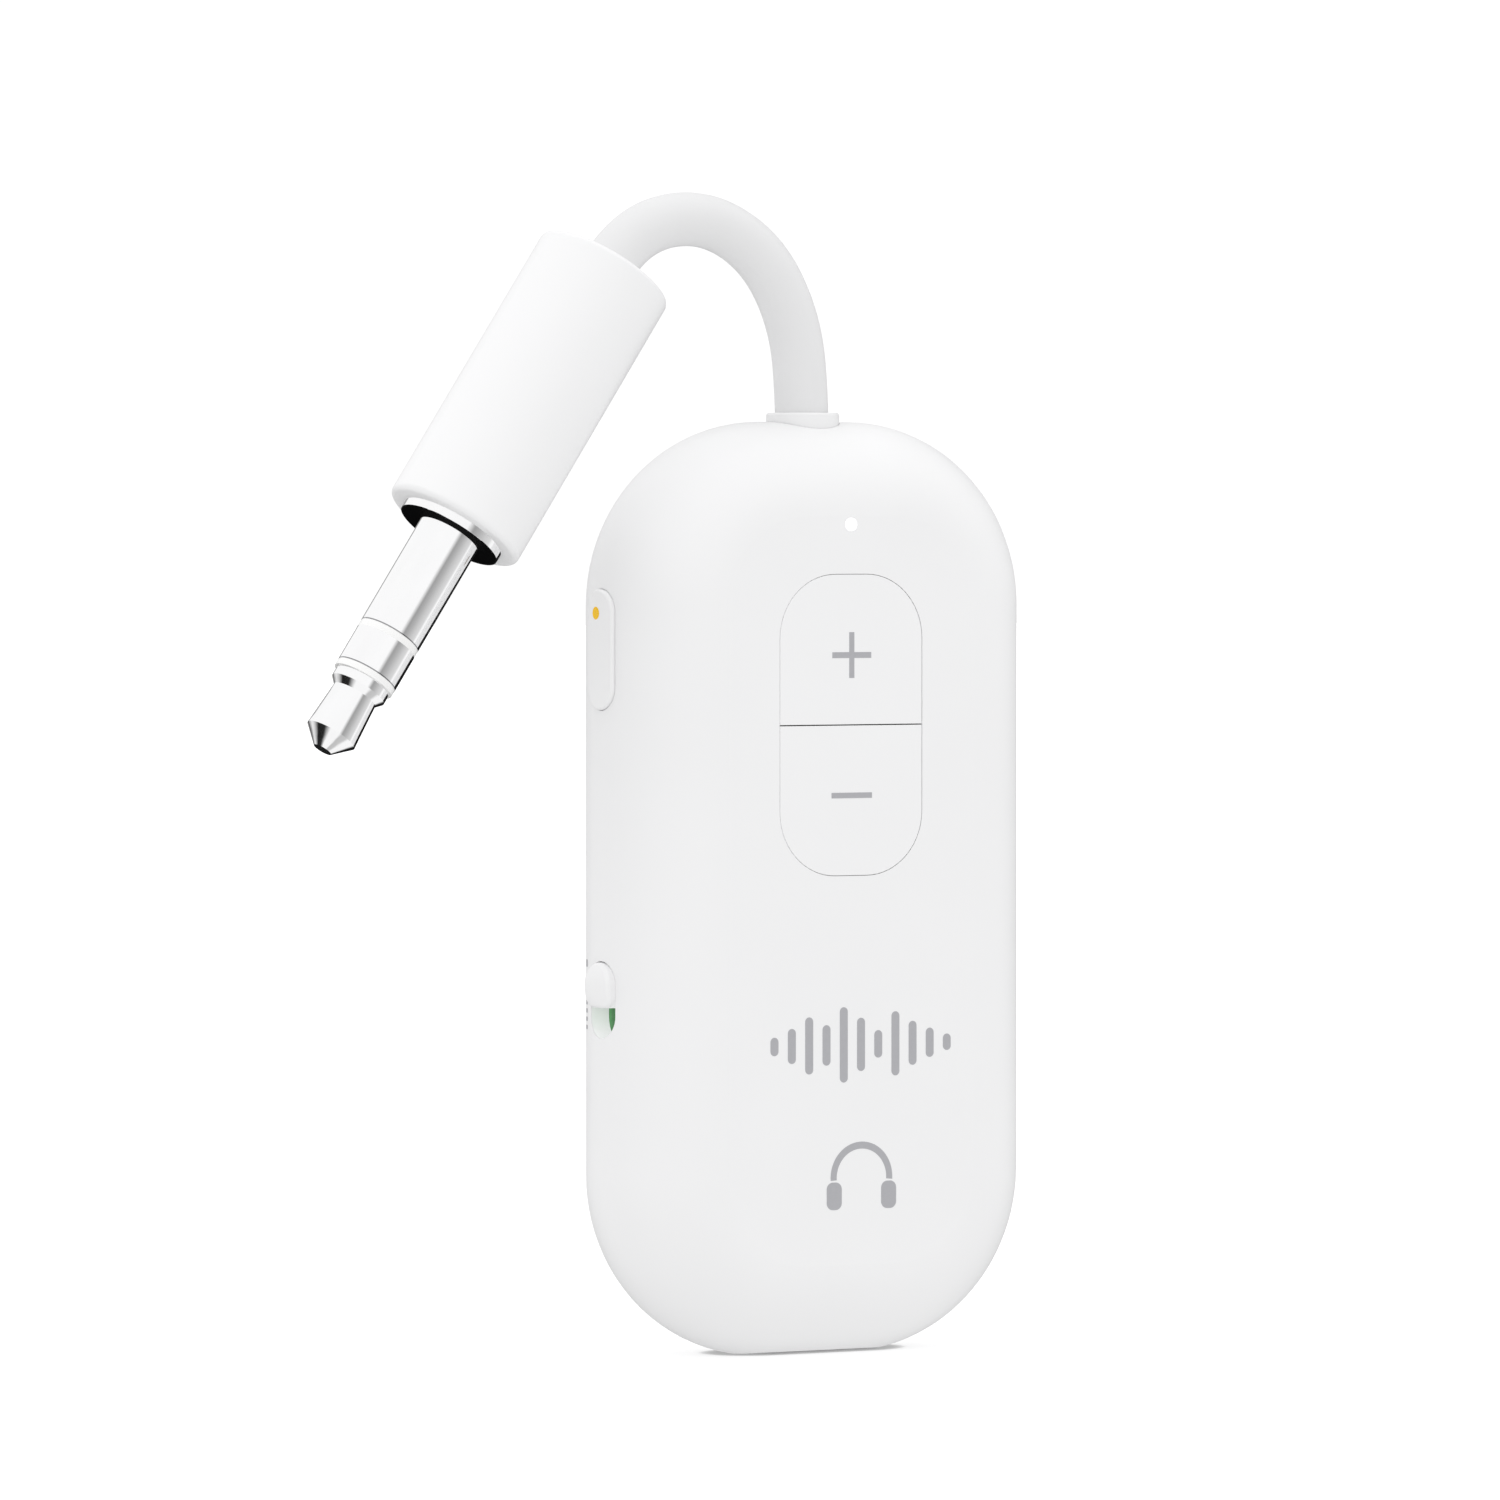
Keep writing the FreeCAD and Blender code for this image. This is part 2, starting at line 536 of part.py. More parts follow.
def mode_knob_cap():
    """The knob's finger pad: round at its top, squarer at its foot, crowned both ways and rimmed."""
    middle = "(mode_knob_top - mode_knob_length / 2)"
    block = box("mode_knob_block",
                ("body_width / 2 + past - carrier_back", "mode_slot_width - 2 * side_gap", "mode_knob_length"),
                ("-(body_width / 2 + past + carrier_back) / 2", "side_offset", middle))

    def runs_in(edge, level):
        return all(abs(corner.Z - number(level)) < 1e-6 for corner in edge.Vertexes) \
            and abs(edge.tangentAt(edge.FirstParameter).x) > 0.99

    headed = round_edges("mode_knob_headed", block, "mode_slot_corner - side_gap",
                         lambda edge: runs_in(edge, "mode_knob_top"))
    footed = round_edges("mode_knob_footed", headed, "mode_knob_corner",
                         lambda edge: runs_in(edge, "mode_knob_top - mode_knob_length"))
    crown = doc.addObject("Part::Torus", "mode_crown_form")
    crown.setExpression("Radius1", formula("body_depth / 2 + mode_raise - mode_crown"))
    crown.setExpression("Radius2", formula("mode_crown"))
    place(crown, "(body_depth - body_width) / 2", "0", middle)
    return round_edges("mode_knob_rounded", common("mode_knob_blank", footed, crown), "mode_rim",
                       lambda edge: left_of(edge, f"{SIDE} + wall / 2"))


def behind_side(label, outline, depth):
    """A block from the carrier's back out to a flank that follows the side wall's inside at a depth."""
    width, low, high = outline
    block = box(f"{label}_block", ("body_width / 2 - carrier_back", width, f"({high}) - ({low})"),
                ("-(body_width / 2 + carrier_back) / 2", "side_offset", f"(({high}) + ({low})) / 2"))
    return common(label, block, side_skin(f"{label}_skin", f"-(wall + {depth})"))


def make_mode_switch():
    film_top = "mode_knob_top - mode_knob_length"
    film = cut("mode_indicator",
               behind_side("indicator_blank", ("indicator_width", "carrier_low", film_top), "carrier_gap"),
               [side_skin("indicator_inside", "-(wall + carrier_gap + indicator_thickness)")])
    carrier = behind_side("mode_carrier", ("carrier_width", "carrier_low", "carrier_high"),
                          "(carrier_gap + indicator_thickness)")
    lever = box("mode_lever", ("lever_length", "lever_width", "lever_height"),
                ("-carrier_back + lever_length / 2", "side_offset", "lever_level"))
    body = box("mode_switch_blank", ("mode_switch_depth", "mode_switch_width", "mode_switch_height"),
               ("-mode_switch_face + mode_switch_depth / 2", "side_offset", "mode_switch_level"))
    bore = box("mode_switch_bore", ("mode_bore_depth", "mode_bore_width", "mode_bore_height"),
               ("-mode_switch_face + mode_bore_depth / 2", "side_offset", "mode_bore_level"))
    return [fuse("mode_knob", [mode_knob_cap(), carrier]), film, lever, cut("mode_switch", body, [bore])]


# ---- circuit board and what is on it ----

def on_board(label, width, height, depth, across, level):
    """A block on the board's front face."""
    return box(label, (width, depth, height), (across, f"-board_face - ({depth}) / 2", level))


def make_board():
    blank = prism("board_blank", "Y", ("board_width", "board_full_height", "board_corner"),
                  "board_thickness", ("0", "-board_face", "board_low + board_full_height / 2"))
    deep = "4 * board_thickness"
    top = box("board_top_cut", ("2 * board_width", deep, "board_full_height"),
              ("0", "0", "board_high + board_full_height / 2"))
    socket = box("board_socket_notch", ("socket_notch_width", deep, "2 * socket_notch_top"),
                 ("0", "0", "0"))

    def edge_notch(label, edge, low, high):
        return box(label, ("board_width", deep, f"{high} - ({low})"),
                   (f"-{edge} - board_width / 2", "0", f"({low} + {high}) / 2"))

    notches = [
        edge_notch("mode_notch", "mode_notch_edge", "mode_notch_low", "mode_notch_high"),
        edge_notch("power_notch", "power_notch_edge", "power_notch_low", "power_notch_high"),
        edge_notch("power_switch_room", "power_switch_notch",
                   "(power_switch_level - power_switch_notch_height / 2)",
                   "(power_switch_level + power_switch_notch_height / 2)"),
    ]
    holes = [cylinder(f"{place_name}_board_hole", "Y", "board_hole", deep,
                      (f"{place_name}_boss_across", f"-({deep}) / 2", f"{place_name}_boss_level"))
             for place_name in ("upper", "lower")]
    return cut("main_board", blank, [top, socket, *notches, *holes])


def make_screws():
    screws = []
    for place_name in ("upper", "lower"):
        across, level = f"{place_name}_boss_across", f"{place_name}_boss_level"
        back = "board_thickness - board_face"
        shank = cylinder(f"{place_name}_shank", "Y", "screw_radius", "screw_length",
                         (across, f"{back} - screw_length", level))
        head = cylinder(f"{place_name}_head", "Y", "screw_head_radius", "screw_head_height",
                        (across, back, level))
        top = (across, f"{back} + screw_head_height", level)
        upright = box(f"{place_name}_recess", ("recess_width", "2 * recess_depth", "recess_length"), top)
        bar = box(f"{place_name}_recess_bar", ("recess_length", "2 * recess_depth", "recess_width"), top)
        screws.append(cut(f"{place_name}_screw", fuse(f"{place_name}_screw_blank", [shank, head]),
                          [upright, bar]))
    return group("board_screws", screws)


def make_chips():
    shield = cut("radio_shield",
                 on_board("shield_can", "shield_width", "shield_height", "shield_depth",
                          "shield_across", "shield_level"),
                 [on_board("shield_inside", "shield_width - 2 * shield_wall",
                           "shield_height - 2 * shield_wall", "shield_depth - shield_wall",
                           "shield_across", "shield_level")])
    nodes = [shield]
    for label, width, height, depth, across, level in (
            ("radio_chip", "radio_side", "radio_side", "radio_depth", "shield_across", "shield_level"),
            ("audio_chip", "audio_side", "audio_side", "audio_depth", "audio_across", "audio_level"),
            ("charger_chip", "charger_side", "charger_side", "charger_depth",
             "charger_across", "charger_level"),
            ("crystal", "crystal_width", "crystal_height", "crystal_depth",
             "crystal_across", "crystal_level"),
            ("chip_antenna", "antenna_width", "antenna_height", "antenna_depth",
             "antenna_across", "antenna_level"),
            ("status_led", "led_width", "led_height", "led_depth", "0", "status_level")):
        nodes.append(on_board(label, width, height, depth, across, level))
    small = [on_board(f"small_chip{i}", "chip_width", "chip_height", "chip_depth", x, z)
             for i, (x, z) in enumerate(SMALL_CHIPS)]
    return nodes + [group("small_chips", small)]


def make_status_light():
    face = cylinder("status_pipe", "Y", "status_radius", "body_depth / 2 - status_end",
                    ("0", FRONT, "status_level"))
    foot = cylinder("status_pipe_foot", "Y", "status_foot", "status_foot_length",
                    ("0", f"{FRONT} + wall", "status_level"))
    return fuse("status_light_pipe", [face, foot])


def make_socket():
    outline = ("socket_width", "socket_depth", "socket_depth / 2 - round_slack")
    inside = tuple(f"{text} - {times} * socket_wall" for text, times in zip(outline, (2, 2, 1)))
    shell = cut("socket_shell", prism("socket_blank", "Z", outline, "socket_length", ("0", "0", "socket_low")),
                [prism("socket_inside", "Z", inside, "socket_length - socket_wall",
                       ("0", "0", "socket_low"))])
    top = "(socket_low + socket_length - socket_wall)"
    blade = box("tongue_blade", ("tongue_width", "tongue_thickness", f"{top} - tongue_low"),
                ("0", "0", f"({top} + tongue_low) / 2"))
    block = box("tongue_root", ("tongue_block_width", "socket_depth - 2 * socket_wall", "tongue_block"),
                ("0", "0", f"{top} - tongue_block / 2"))
    contacts = [box(f"contact_{face}{i}", ("contact_width", "contact_thickness", "contact_length"),
                    (f"({i} - {(CONTACTS_PER_FACE - 1) / 2}) * contact_pitch",
                     f"{side} * (tongue_thickness + contact_thickness) / 2",
                     "tongue_low + contact_inset + contact_length / 2"))
                for face, side in (("front", -1), ("back", 1)) for i in range(CONTACTS_PER_FACE)]
    return [shell, fuse("socket_tongue", [blade, block]), group("socket_contacts", contacts)]


def make_battery():
    centre = ("0", "battery_face + battery_depth / 2", "battery_level")
    cell = box("battery_blank", ("battery_width", "battery_depth", "battery_height"), centre)
    battery = round_edges("battery_cell", cell, "battery_edge",
                          lambda edge: abs(edge.tangentAt(edge.FirstParameter).z) > 0.99)
    pad_block = box("battery_pad", ("pad_width", "pad_thickness", "pad_height"),
                    ("0", "battery_face + battery_depth + pad_thickness / 2", "battery_level"))
    top = number("battery_level + battery_height / 2")
    middle = number("battery_face + battery_depth / 2")
    rest = number("board_thickness - board_face + lead_radius + lead_gap")
    bends = [(middle, "0"), (middle, "lead_first_bend"), (rest, "lead_second_bend"), (rest, "lead_end")]
    leads = [tube(f"battery_lead{i}", [(x, y, top + number(rise)) for y, rise in bends], "lead_radius")
             for i, x in enumerate((-number("lead_across"), number("lead_across")))]
    return [battery, pad_block, group("battery_leads", leads)]


# ---- pigtail and plug ----

def make_collar():
    collar = turned("cable_collar", [
        ("cable_radius", "0"), ("collar_flange_radius", "0"),
        ("collar_flange_radius", "collar_flange_high - collar_flange_low"),
        ("collar_radius", "collar_flange_high - collar_flange_low"),
        ("collar_radius", "collar_top - collar_flange_low - collar_edge"),
        ("collar_radius - collar_edge", "collar_top - collar_flange_low"),
        ("cable_radius", "collar_top - collar_flange_low")], ("0", "0", "collar_flange_low"))
    crimp = turned("cable_crimp", [
        ("cable_radius", "0"), ("crimp_radius", "0"), ("crimp_radius", "crimp_high - crimp_low"),
        ("cable_radius", "crimp_high - crimp_low")], ("0", "0", "crimp_low"))
    return [collar, crimp]


def make_pigtail():
    cable = tube("pigtail_cable", [(x, 0, z) for x, z in PIGTAIL_ROUTE], "cable_radius")
    end = PIGTAIL_ROUTE[0][1]
    front = number("-board_face - wire_radius - wire_gap")
    back = number("board_thickness - board_face + wire_radius + wire_gap")
    bends = [(0.5, "0"), (0.5, "wire_first_bend"), (1, "wire_second_bend"), (1, "wire_length")]
    wires = [tube(f"wire{i}", [(share * x, y, end - number(drop)) for share, drop in bends], "wire_radius")
             for i, (x, y) in enumerate(((-1.05, front), (1.05, front), (0.2, back)))]
    return [cable, group("pigtail_wires", wires)]


def along_plug(body):
    """Sets a turned piece on the plug's axis: its own Z runs from the barrel's cable end to the tip."""
    tilt = math.radians(number("plug_tilt"))
    heading = FreeCAD.Vector(-math.sin(tilt), 0, -math.cos(tilt))
    body.Placement = FreeCAD.Placement(FreeCAD.Vector(), FreeCAD.Rotation(FreeCAD.Vector(0, 0, 1), heading))
    return place(body, "plug_across", "0", "plug_level")


def make_plug():
    end = "barrel_length"
    face = f"{end} + shoulder_length"
    sleeve_end = f"{face} + sleeve_length"
    ring_start = f"{sleeve_end} + spacer_length"
    ring_end = f"{ring_start} + contact_ring_length"
    tip_start = f"{ring_end} + tip_spacer_length"
    flange_end = f"{tip_start} + tip_flange_length"
    neck = f"{flange_end} + tip_cone_length"
    swell = f"{neck} + tip_swell_length"
    tip_end = f"{swell} + tip_end_length"
    barrel = turned("plug_barrel", [
        ("cable_radius", "0"), ("barrel_radius", "0"), ("barrel_radius", end), ("core_radius", end),
        ("core_radius", "lug_bore_end"), ("lug_bore_radius", "lug_bore_end"),
        ("lug_bore_radius", "cable_bore_depth"), ("cable_radius", "cable_bore_depth")])
    outer = number("barrel_radius")
    fillet_body(barrel, "barrel_edge",
                lambda edge: isinstance(edge.Curve, Part.Circle) and abs(edge.Curve.Radius - outer) < 1e-6)
    shoulder = turned("plug_shoulder", [
        ("tube_radius", "lug_bore_end"), ("core_radius", "lug_bore_end"), ("core_radius", end),
        ("shoulder_radius", end), ("shoulder_radius", face), ("shoulder_radius - shoulder_rim", face),
        ("shoulder_radius - shoulder_rim", f"{face} - ring_insert"),
        ("tube_radius", f"{face} - ring_insert")])
    shoulder_ring = turned("plug_shoulder_ring", [
        ("sleeve_root_radius", f"{face} - ring_insert"),
        ("shoulder_radius - shoulder_rim", f"{face} - ring_insert"),
        ("shoulder_radius - shoulder_rim", face), ("sleeve_root_radius", face)])
    sleeve = turned("plug_sleeve", [
        ("tube_radius", f"{face} - ring_insert"), ("sleeve_root_radius", f"{face} - ring_insert"),
        ("sleeve_root_radius", face), ("plug_radius", face),
        ("plug_radius", sleeve_end), ("tube_radius", sleeve_end)])
    spacers = turned("plug_spacers", [
        ("core_rod_radius", "lug_bore_end"), ("tube_radius", "lug_bore_end"), ("tube_radius", sleeve_end),
        ("spacer_radius", sleeve_end), ("spacer_radius", ring_start), ("tube_radius", ring_start),
        ("tube_radius", ring_end), ("spacer_radius", ring_end), ("spacer_radius", tip_start),
        ("core_rod_radius", tip_start)])
    ring = turned("plug_ring", [
        ("tube_radius", ring_start), ("plug_radius", ring_start), ("plug_radius", ring_end),
        ("tube_radius", ring_end)])
    tip = turned("plug_tip", [
        ("0", "lug_bore_end"), ("core_rod_radius", "lug_bore_end"), ("core_rod_radius", tip_start),
        ("tip_flange_radius", tip_start), ("tip_flange_radius", flange_end), ("tip_neck_radius", neck),
        ("tip_swell_radius", swell), ("tip_end_radius", tip_end), ("0", tip_end)])
    return [along_plug(piece) for piece in (barrel, shoulder, shoulder_ring, sleeve, spacers, ring, tip)]


# ---- the whole receiver ----

def make_receiver():
    return [*make_housing(), *make_volume_keys(), *make_power_key(), *make_power_switch(),
            *make_mode_switch(), make_board(), make_screws(), *make_chips(), make_status_light(),
            *make_socket(), *make_battery(), *make_collar(), *make_pigtail(), *make_plug()]


def check(nodes):
    for thing in doc.Objects:
        if "Invalid" in thing.State or "Error" in thing.State:
            raise ValueError(f"{thing.Label} failed: {thing.State}")
    for node in nodes:
        if node.Shape.isNull() or not node.Shape.isValid() or not node.Shape.Solids:
            raise ValueError(f"{node.Label} has no valid solid")


nodes = make_receiver()
doc.recompute()
check(nodes)
os.makedirs("parts", exist_ok=True)
for node in nodes:
    node.Shape.exportStep(f"parts/{node.Label}.step")
print(f"{len(nodes)} nodes written")
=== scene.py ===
import math

import bmesh
import bpy
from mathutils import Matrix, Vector


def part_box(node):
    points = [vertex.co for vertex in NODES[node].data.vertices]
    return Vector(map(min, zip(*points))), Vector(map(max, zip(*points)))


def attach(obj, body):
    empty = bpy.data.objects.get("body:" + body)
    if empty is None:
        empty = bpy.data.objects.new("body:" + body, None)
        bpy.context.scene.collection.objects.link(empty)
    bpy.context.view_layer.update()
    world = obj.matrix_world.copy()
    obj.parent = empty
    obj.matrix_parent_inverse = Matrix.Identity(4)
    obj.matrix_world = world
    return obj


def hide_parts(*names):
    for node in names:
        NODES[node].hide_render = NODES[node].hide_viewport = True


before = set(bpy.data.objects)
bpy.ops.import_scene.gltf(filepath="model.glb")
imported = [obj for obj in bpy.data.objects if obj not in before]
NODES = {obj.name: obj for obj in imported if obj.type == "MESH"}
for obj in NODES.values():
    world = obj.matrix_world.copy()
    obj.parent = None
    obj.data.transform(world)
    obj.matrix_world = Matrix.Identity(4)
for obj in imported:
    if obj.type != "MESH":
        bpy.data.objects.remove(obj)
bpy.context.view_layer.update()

MM = 0.001
SCENE = bpy.context.scene

# The view: how far it is turned from the front and tipped down, and where it looks.
VIEW_TURN = math.radians(30.0)
VIEW_DROP = math.radians(1.37)
VIEW_AHEAD = Vector((math.sin(VIEW_TURN) * math.cos(VIEW_DROP),
                     math.cos(VIEW_TURN) * math.cos(VIEW_DROP),
                     -math.sin(VIEW_DROP)))

# The plug's axis: how far it leans from straight down in the X-Z plane, and its direction.
PLUG_TILT = math.radians(33.8)
PLUG_AXIS = Vector((-math.sin(PLUG_TILT), 0, -math.cos(PLUG_TILT)))

# The plug's axis starts at the barrel's cable end, given as (x, z), and the sleeve and the ring contact end
# this far down it, in millimetres.
PLUG_START = (-12.38, 59.12)
CONTACT_ENDS = (23.8, 26.31)

# The rounded left side's section behind the middle plane: its centre as (x, y), and its radius.
SIDE_CENTRE = (-7.65, 0.1)
EDGE_RADIUS = 5.15


def mm(*values):
    return Vector(values) * MM


# ---- camera ----

CAMERA_PLACE = (-279.33, -478.05, 46.17)
SENSOR_WIDTH = 36.0
LENS = 242.44


def make_camera():
    data = bpy.data.cameras.new("photo_camera")
    data.sensor_width = SENSOR_WIDTH
    data.lens = LENS
    data.clip_start, data.clip_end = 0.01, 20.0
    camera = bpy.data.objects.new("photo_camera", data)
    SCENE.collection.objects.link(camera)
    camera.location = mm(*CAMERA_PLACE)
    camera.rotation_mode = "QUATERNION"
    camera.rotation_quaternion = VIEW_AHEAD.to_track_quat("-Z", "Y")
    SCENE.camera = camera


make_camera()


# ---- the pigtail ----

# The cable's route in the middle plane as (x, z), in millimetres, from its anchor in the housing.
PIGTAIL_ROUTE = [(0, 47.2), (0, 51.9), (-0.5, 56.5), (-2.7, 60.3), (-6.5, 62.2), (-10.7, 61.3),
                 (-13.53, 57.4), (-15.9, 53.86)]
CABLE_RADIUS = 1.465


def make_pigtail():
    """The cable as a round curve. Its points carry the radius, so that the curve's own box is true."""
    curve = bpy.data.curves.new("pigtail", "CURVE")
    curve.dimensions = "3D"
    spline = curve.splines.new("NURBS")
    spline.points.add(len(PIGTAIL_ROUTE) - 1)
    for point, (x, z) in zip(spline.points, PIGTAIL_ROUTE):
        point.co = (*mm(x, 0, z), 1)
        point.radius = CABLE_RADIUS * MM
    spline.order_u = 3
    spline.use_endpoint_u = True
    spline.resolution_u = 24
    curve.bevel_depth = 1.0
    curve.bevel_resolution = 14
    curve.use_fill_caps = True
    cable = bpy.data.objects.new("pigtail", curve)
    SCENE.collection.objects.link(cable)
    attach(cable, "receiver")
    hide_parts("pigtail_cable")
    return cable


pigtail = make_pigtail()


# ---- node material helpers ----

class Look:
    """One node material: a Principled shader and short ways to add nodes in front of it."""

    def __init__(self, name, colour, roughness, **sockets):
        self.material = bpy.data.materials.new(name)
        self.material.use_nodes = True
        self.tree = self.material.node_tree
        self.tree.nodes.clear()
        output = self.tree.nodes.new("ShaderNodeOutputMaterial")
        self.shader = self.tree.nodes.new("ShaderNodeBsdfPrincipled")
        self.tree.links.new(self.shader.outputs["BSDF"], output.inputs["Surface"])
        self.shader.inputs["Base Color"].default_value = (*colour, 1)
        self.shader.inputs["Roughness"].default_value = roughness
        for socket, value in sockets.items():
            self.shader.inputs[socket.replace("_", " ")].default_value = value
        self.colour = colour
        self.place = self.add("ShaderNodeTexCoord").outputs["Object"]

    def add(self, kind, **settings):
        made = self.tree.nodes.new(kind)
        for name, value in settings.items():
            setattr(made, name, value)
        return made

    def join(self, source, target):
        if isinstance(source, (int, float)):
            target.default_value = source
        else:
            self.tree.links.new(source, target)

    def math(self, operation, first, second=0.0):
        made = self.add("ShaderNodeMath", operation=operation)
        self.join(first, made.inputs[0])
        self.join(second, made.inputs[1])
        return made.outputs[0]

    def blend(self, first, second, share):
        """A share of the first source and the rest of the second."""
        return self.math("ADD", self.math("MULTIPLY", first, share), self.math("MULTIPLY", second, 1 - share))

    def noise(self, size, detail=2.0, place=None):
        """Noise whose features are about size millimetres across."""
        made = self.add("ShaderNodeTexNoise")
        self.join(place or self.place, made.inputs["Vector"])
        made.inputs["Scale"].default_value = 1 / (size * MM)
        made.inputs["Detail"].default_value = detail
        return made.outputs["Fac"]

    def cells(self, size, feature="F1", distance="EUCLIDEAN"):
        """Distance from the middles of cells about size millimetres across."""
        made = self.add("ShaderNodeTexVoronoi", feature=feature, distance=distance)
        self.join(self.place, made.inputs["Vector"])
        made.inputs["Scale"].default_value = 1 / (size * MM)
        return made.outputs["Distance"]

    def spread(self, source, low, high, start=0.0, end=1.0):
        """Maps start..end of a source to low..high."""
        made = self.add("ShaderNodeMapRange", clamp=True)
        self.join(source, made.inputs["Value"])
        for socket, value in zip(("From Min", "From Max", "To Min", "To Max"), (start, end, low, high)):
            made.inputs[socket].default_value = value
        return made.outputs["Result"]

    def contrast(self, source):
        """A noise's middle range, spread over 0 to 1."""
        return self.spread(source, 0, 1, 0.3, 0.7)

    def mix(self, share, first, second):
        """Mixes two colours, each a tuple or a socket."""
        made = self.add("ShaderNodeMix", data_type="RGBA")
        self.join(share, made.inputs["Factor"])
        for socket, value in ((made.inputs[6], first), (made.inputs[7], second)):
            if isinstance(value, tuple):
                socket.default_value = (*value, 1)
            else:
                self.tree.links.new(value, socket)
        return made.outputs[2]

    def shade(self, source, amount):
        """The look's own colour, darker and lighter by amount with a source from 0 to 1."""
        dark = tuple(c * (1 - amount) for c in self.colour)
        light = tuple(min(1.0, c * (1 + amount)) for c in self.colour)
        return self.mix(source, dark, light)

    def paint(self, colour):
        self.join(colour, self.shader.inputs["Base Color"])

    def gloss(self, source, low, high):
        """Roughness from low to high over a noise's middle range."""
        self.join(self.spread(source, low, high, 0.3, 0.7), self.shader.inputs["Roughness"])

    def bump(self, source, height):
        """Relief of height millimetres from a source, on top of any relief that is there already."""
        made = self.add("ShaderNodeBump")
        made.inputs["Strength"].default_value = 1.0
        made.inputs["Distance"].default_value = height * MM
        self.join(source, made.inputs["Height"])
        if self.shader.inputs["Normal"].is_linked:
            self.tree.links.new(self.shader.inputs["Normal"].links[0].from_socket, made.inputs["Normal"])
        self.tree.links.new(made.outputs["Normal"], self.shader.inputs["Normal"])

    def down_plug(self):
        """How far down the plug's axis a point lies, in metres from the axis's start."""
        start = self.add("ShaderNodeVectorMath", operation="SUBTRACT")
        self.join(self.place, start.inputs[0])
        start.inputs[1].default_value = mm(PLUG_START[0], 0, PLUG_START[1])
        made = self.add("ShaderNodeVectorMath", operation="DOT_PRODUCT")
        self.join(start.outputs[0], made.inputs[0])
        made.inputs[1].default_value = PLUG_AXIS
        return made.outputs["Value"]

    def along_plug(self):
        """Place turned so that its Z runs along the plug's axis."""
        made = self.add("ShaderNodeMapping", vector_type="POINT")
        made.inputs["Rotation"].default_value = (0, -PLUG_TILT, 0)
        self.tree.links.new(self.place, made.inputs["Vector"])
        return made.outputs["Vector"]

    def stretched(self, x, y, z, place=None):
        """Place scaled along each axis: below 1 draws a pattern out, above 1 presses it together."""
        made = self.add("ShaderNodeMapping", vector_type="POINT")
        made.inputs["Scale"].default_value = (x, y, z)
        self.tree.links.new(place or self.place, made.inputs["Vector"])
        return made.outputs["Vector"]

    def part(self, axis):
        """One coordinate of the place, in metres."""
        made = self.add("ShaderNodeSeparateXYZ")
        self.tree.links.new(self.place, made.inputs[0])
        return made.outputs[axis]


# ---- materials of what shows ----

def moulded(name, colour, roughness, grain=0.11, glow=None):
    """Satin moulded plastic: eroded-tool micro texture, faint flow clouding, a little wear in its sheen."""
    look = Look(name, colour, roughness, IOR=1.49, Specular_IOR_Level=0.2)
    clouds = look.noise(7.0, 3.0)
    fine = look.noise(grain, 2.0)
    look.paint(look.shade(look.contrast(clouds), 0.006))
    look.gloss(look.blend(clouds, fine, 0.5), roughness - 0.05, roughness + 0.05)
    look.bump(fine, 0.0012)
    look.bump(look.noise(1.6, 2.0), 0.0016)
    # Painted light, where a glow is given: faint emission on chosen parts of the surface.
    if glow:
        glow(look)
    return look.material


def cable_jacket():
    """Soft satin jacket, slightly mottled."""
    look = Look("cable_jacket", (0.715, 0.715, 0.72), 0.5, IOR=1.45, Specular_IOR_Level=0.25,
                Sheen_Weight=0.06, Sheen_Roughness=0.4)
    mottle = look.noise(0.45, 3.0)
    look.paint(look.shade(look.contrast(look.noise(4.0)), 0.01))
    look.gloss(mottle, 0.44, 0.58)
    look.bump(mottle, 0.003)
    look.bump(look.noise(0.08), 0.0012)
    return look.material


# Half the width of the painted shade line at a contact's end, in millimetres, and the grey it is painted in.
END_SHADE_HALF_WIDTH = 0.028
END_SHADE_TONE = (0.3, 0.3, 0.31)


def plating():
    """Polished plating, with the lathe's fine rings and a thin grey line of painted shade where each contact
    ends.
    """
    look = Look("plug_plating", (0.93, 0.93, 0.935), 0.07, Metallic=1.0)
    along = look.along_plug()
    rings = look.noise(0.05, 1.0, look.stretched(0.01, 0.01, 1.0, along))
    smears = look.noise(1.1, 3.0, look.stretched(1.0, 1.0, 0.35, along))
    look.gloss(look.blend(rings, smears, 0.45), 0.05, 0.1)
    tone = look.shade(look.contrast(smears), 0.015)
    # Painted shade: a thin grey line darkens the plating at each contact's end.
    for end in CONTACT_ENDS:
        from_end = look.math("ABSOLUTE", look.math("SUBTRACT", look.down_plug(), (end - END_SHADE_HALF_WIDTH) * MM))
        end_shade_share = look.spread(from_end, 1, 0, END_SHADE_HALF_WIDTH * MM, 1.6 * END_SHADE_HALF_WIDTH * MM)
        tone = look.mix(end_shade_share, tone, END_SHADE_TONE)
    look.paint(tone)
    look.bump(rings, 0.00012)
    look.bump(look.noise(2.4, 1.0, look.stretched(1.0, 1.0, 0.6, along)), 0.03)
    return look.material


def insulator(name, colour, roughness, shine=0.5):
    """Hard moulded insulation with a fine, even surface."""
    look = Look(name, colour, roughness, IOR=1.5, Specular_IOR_Level=shine)
    fine = look.noise(0.09, 2.0)
    look.paint(look.shade(fine, 0.02))
    look.gloss(fine, roughness - 0.04, roughness + 0.06)
    look.bump(fine, 0.0008)
    return look.material


def light_pipe(name, colour, glow, strength, haze_colour):
    """A small diffusing lens that gives off a little light, faintly clouded with a second colour."""
    look = Look(name, colour, 0.25, IOR=1.49, Specular_IOR_Level=0.25)
    haze = look.noise(0.12, 2.0)
    look.paint(look.mix(look.spread(haze, 0, 0.35, 0.3, 0.7), colour, haze_colour))
    look.gloss(haze, 0.2, 0.32)
    look.bump(haze, 0.0006)
    look.shader.inputs["Emission Color"].default_value = (*glow, 1)
    look.shader.inputs["Emission Strength"].default_value = strength
    return look.material


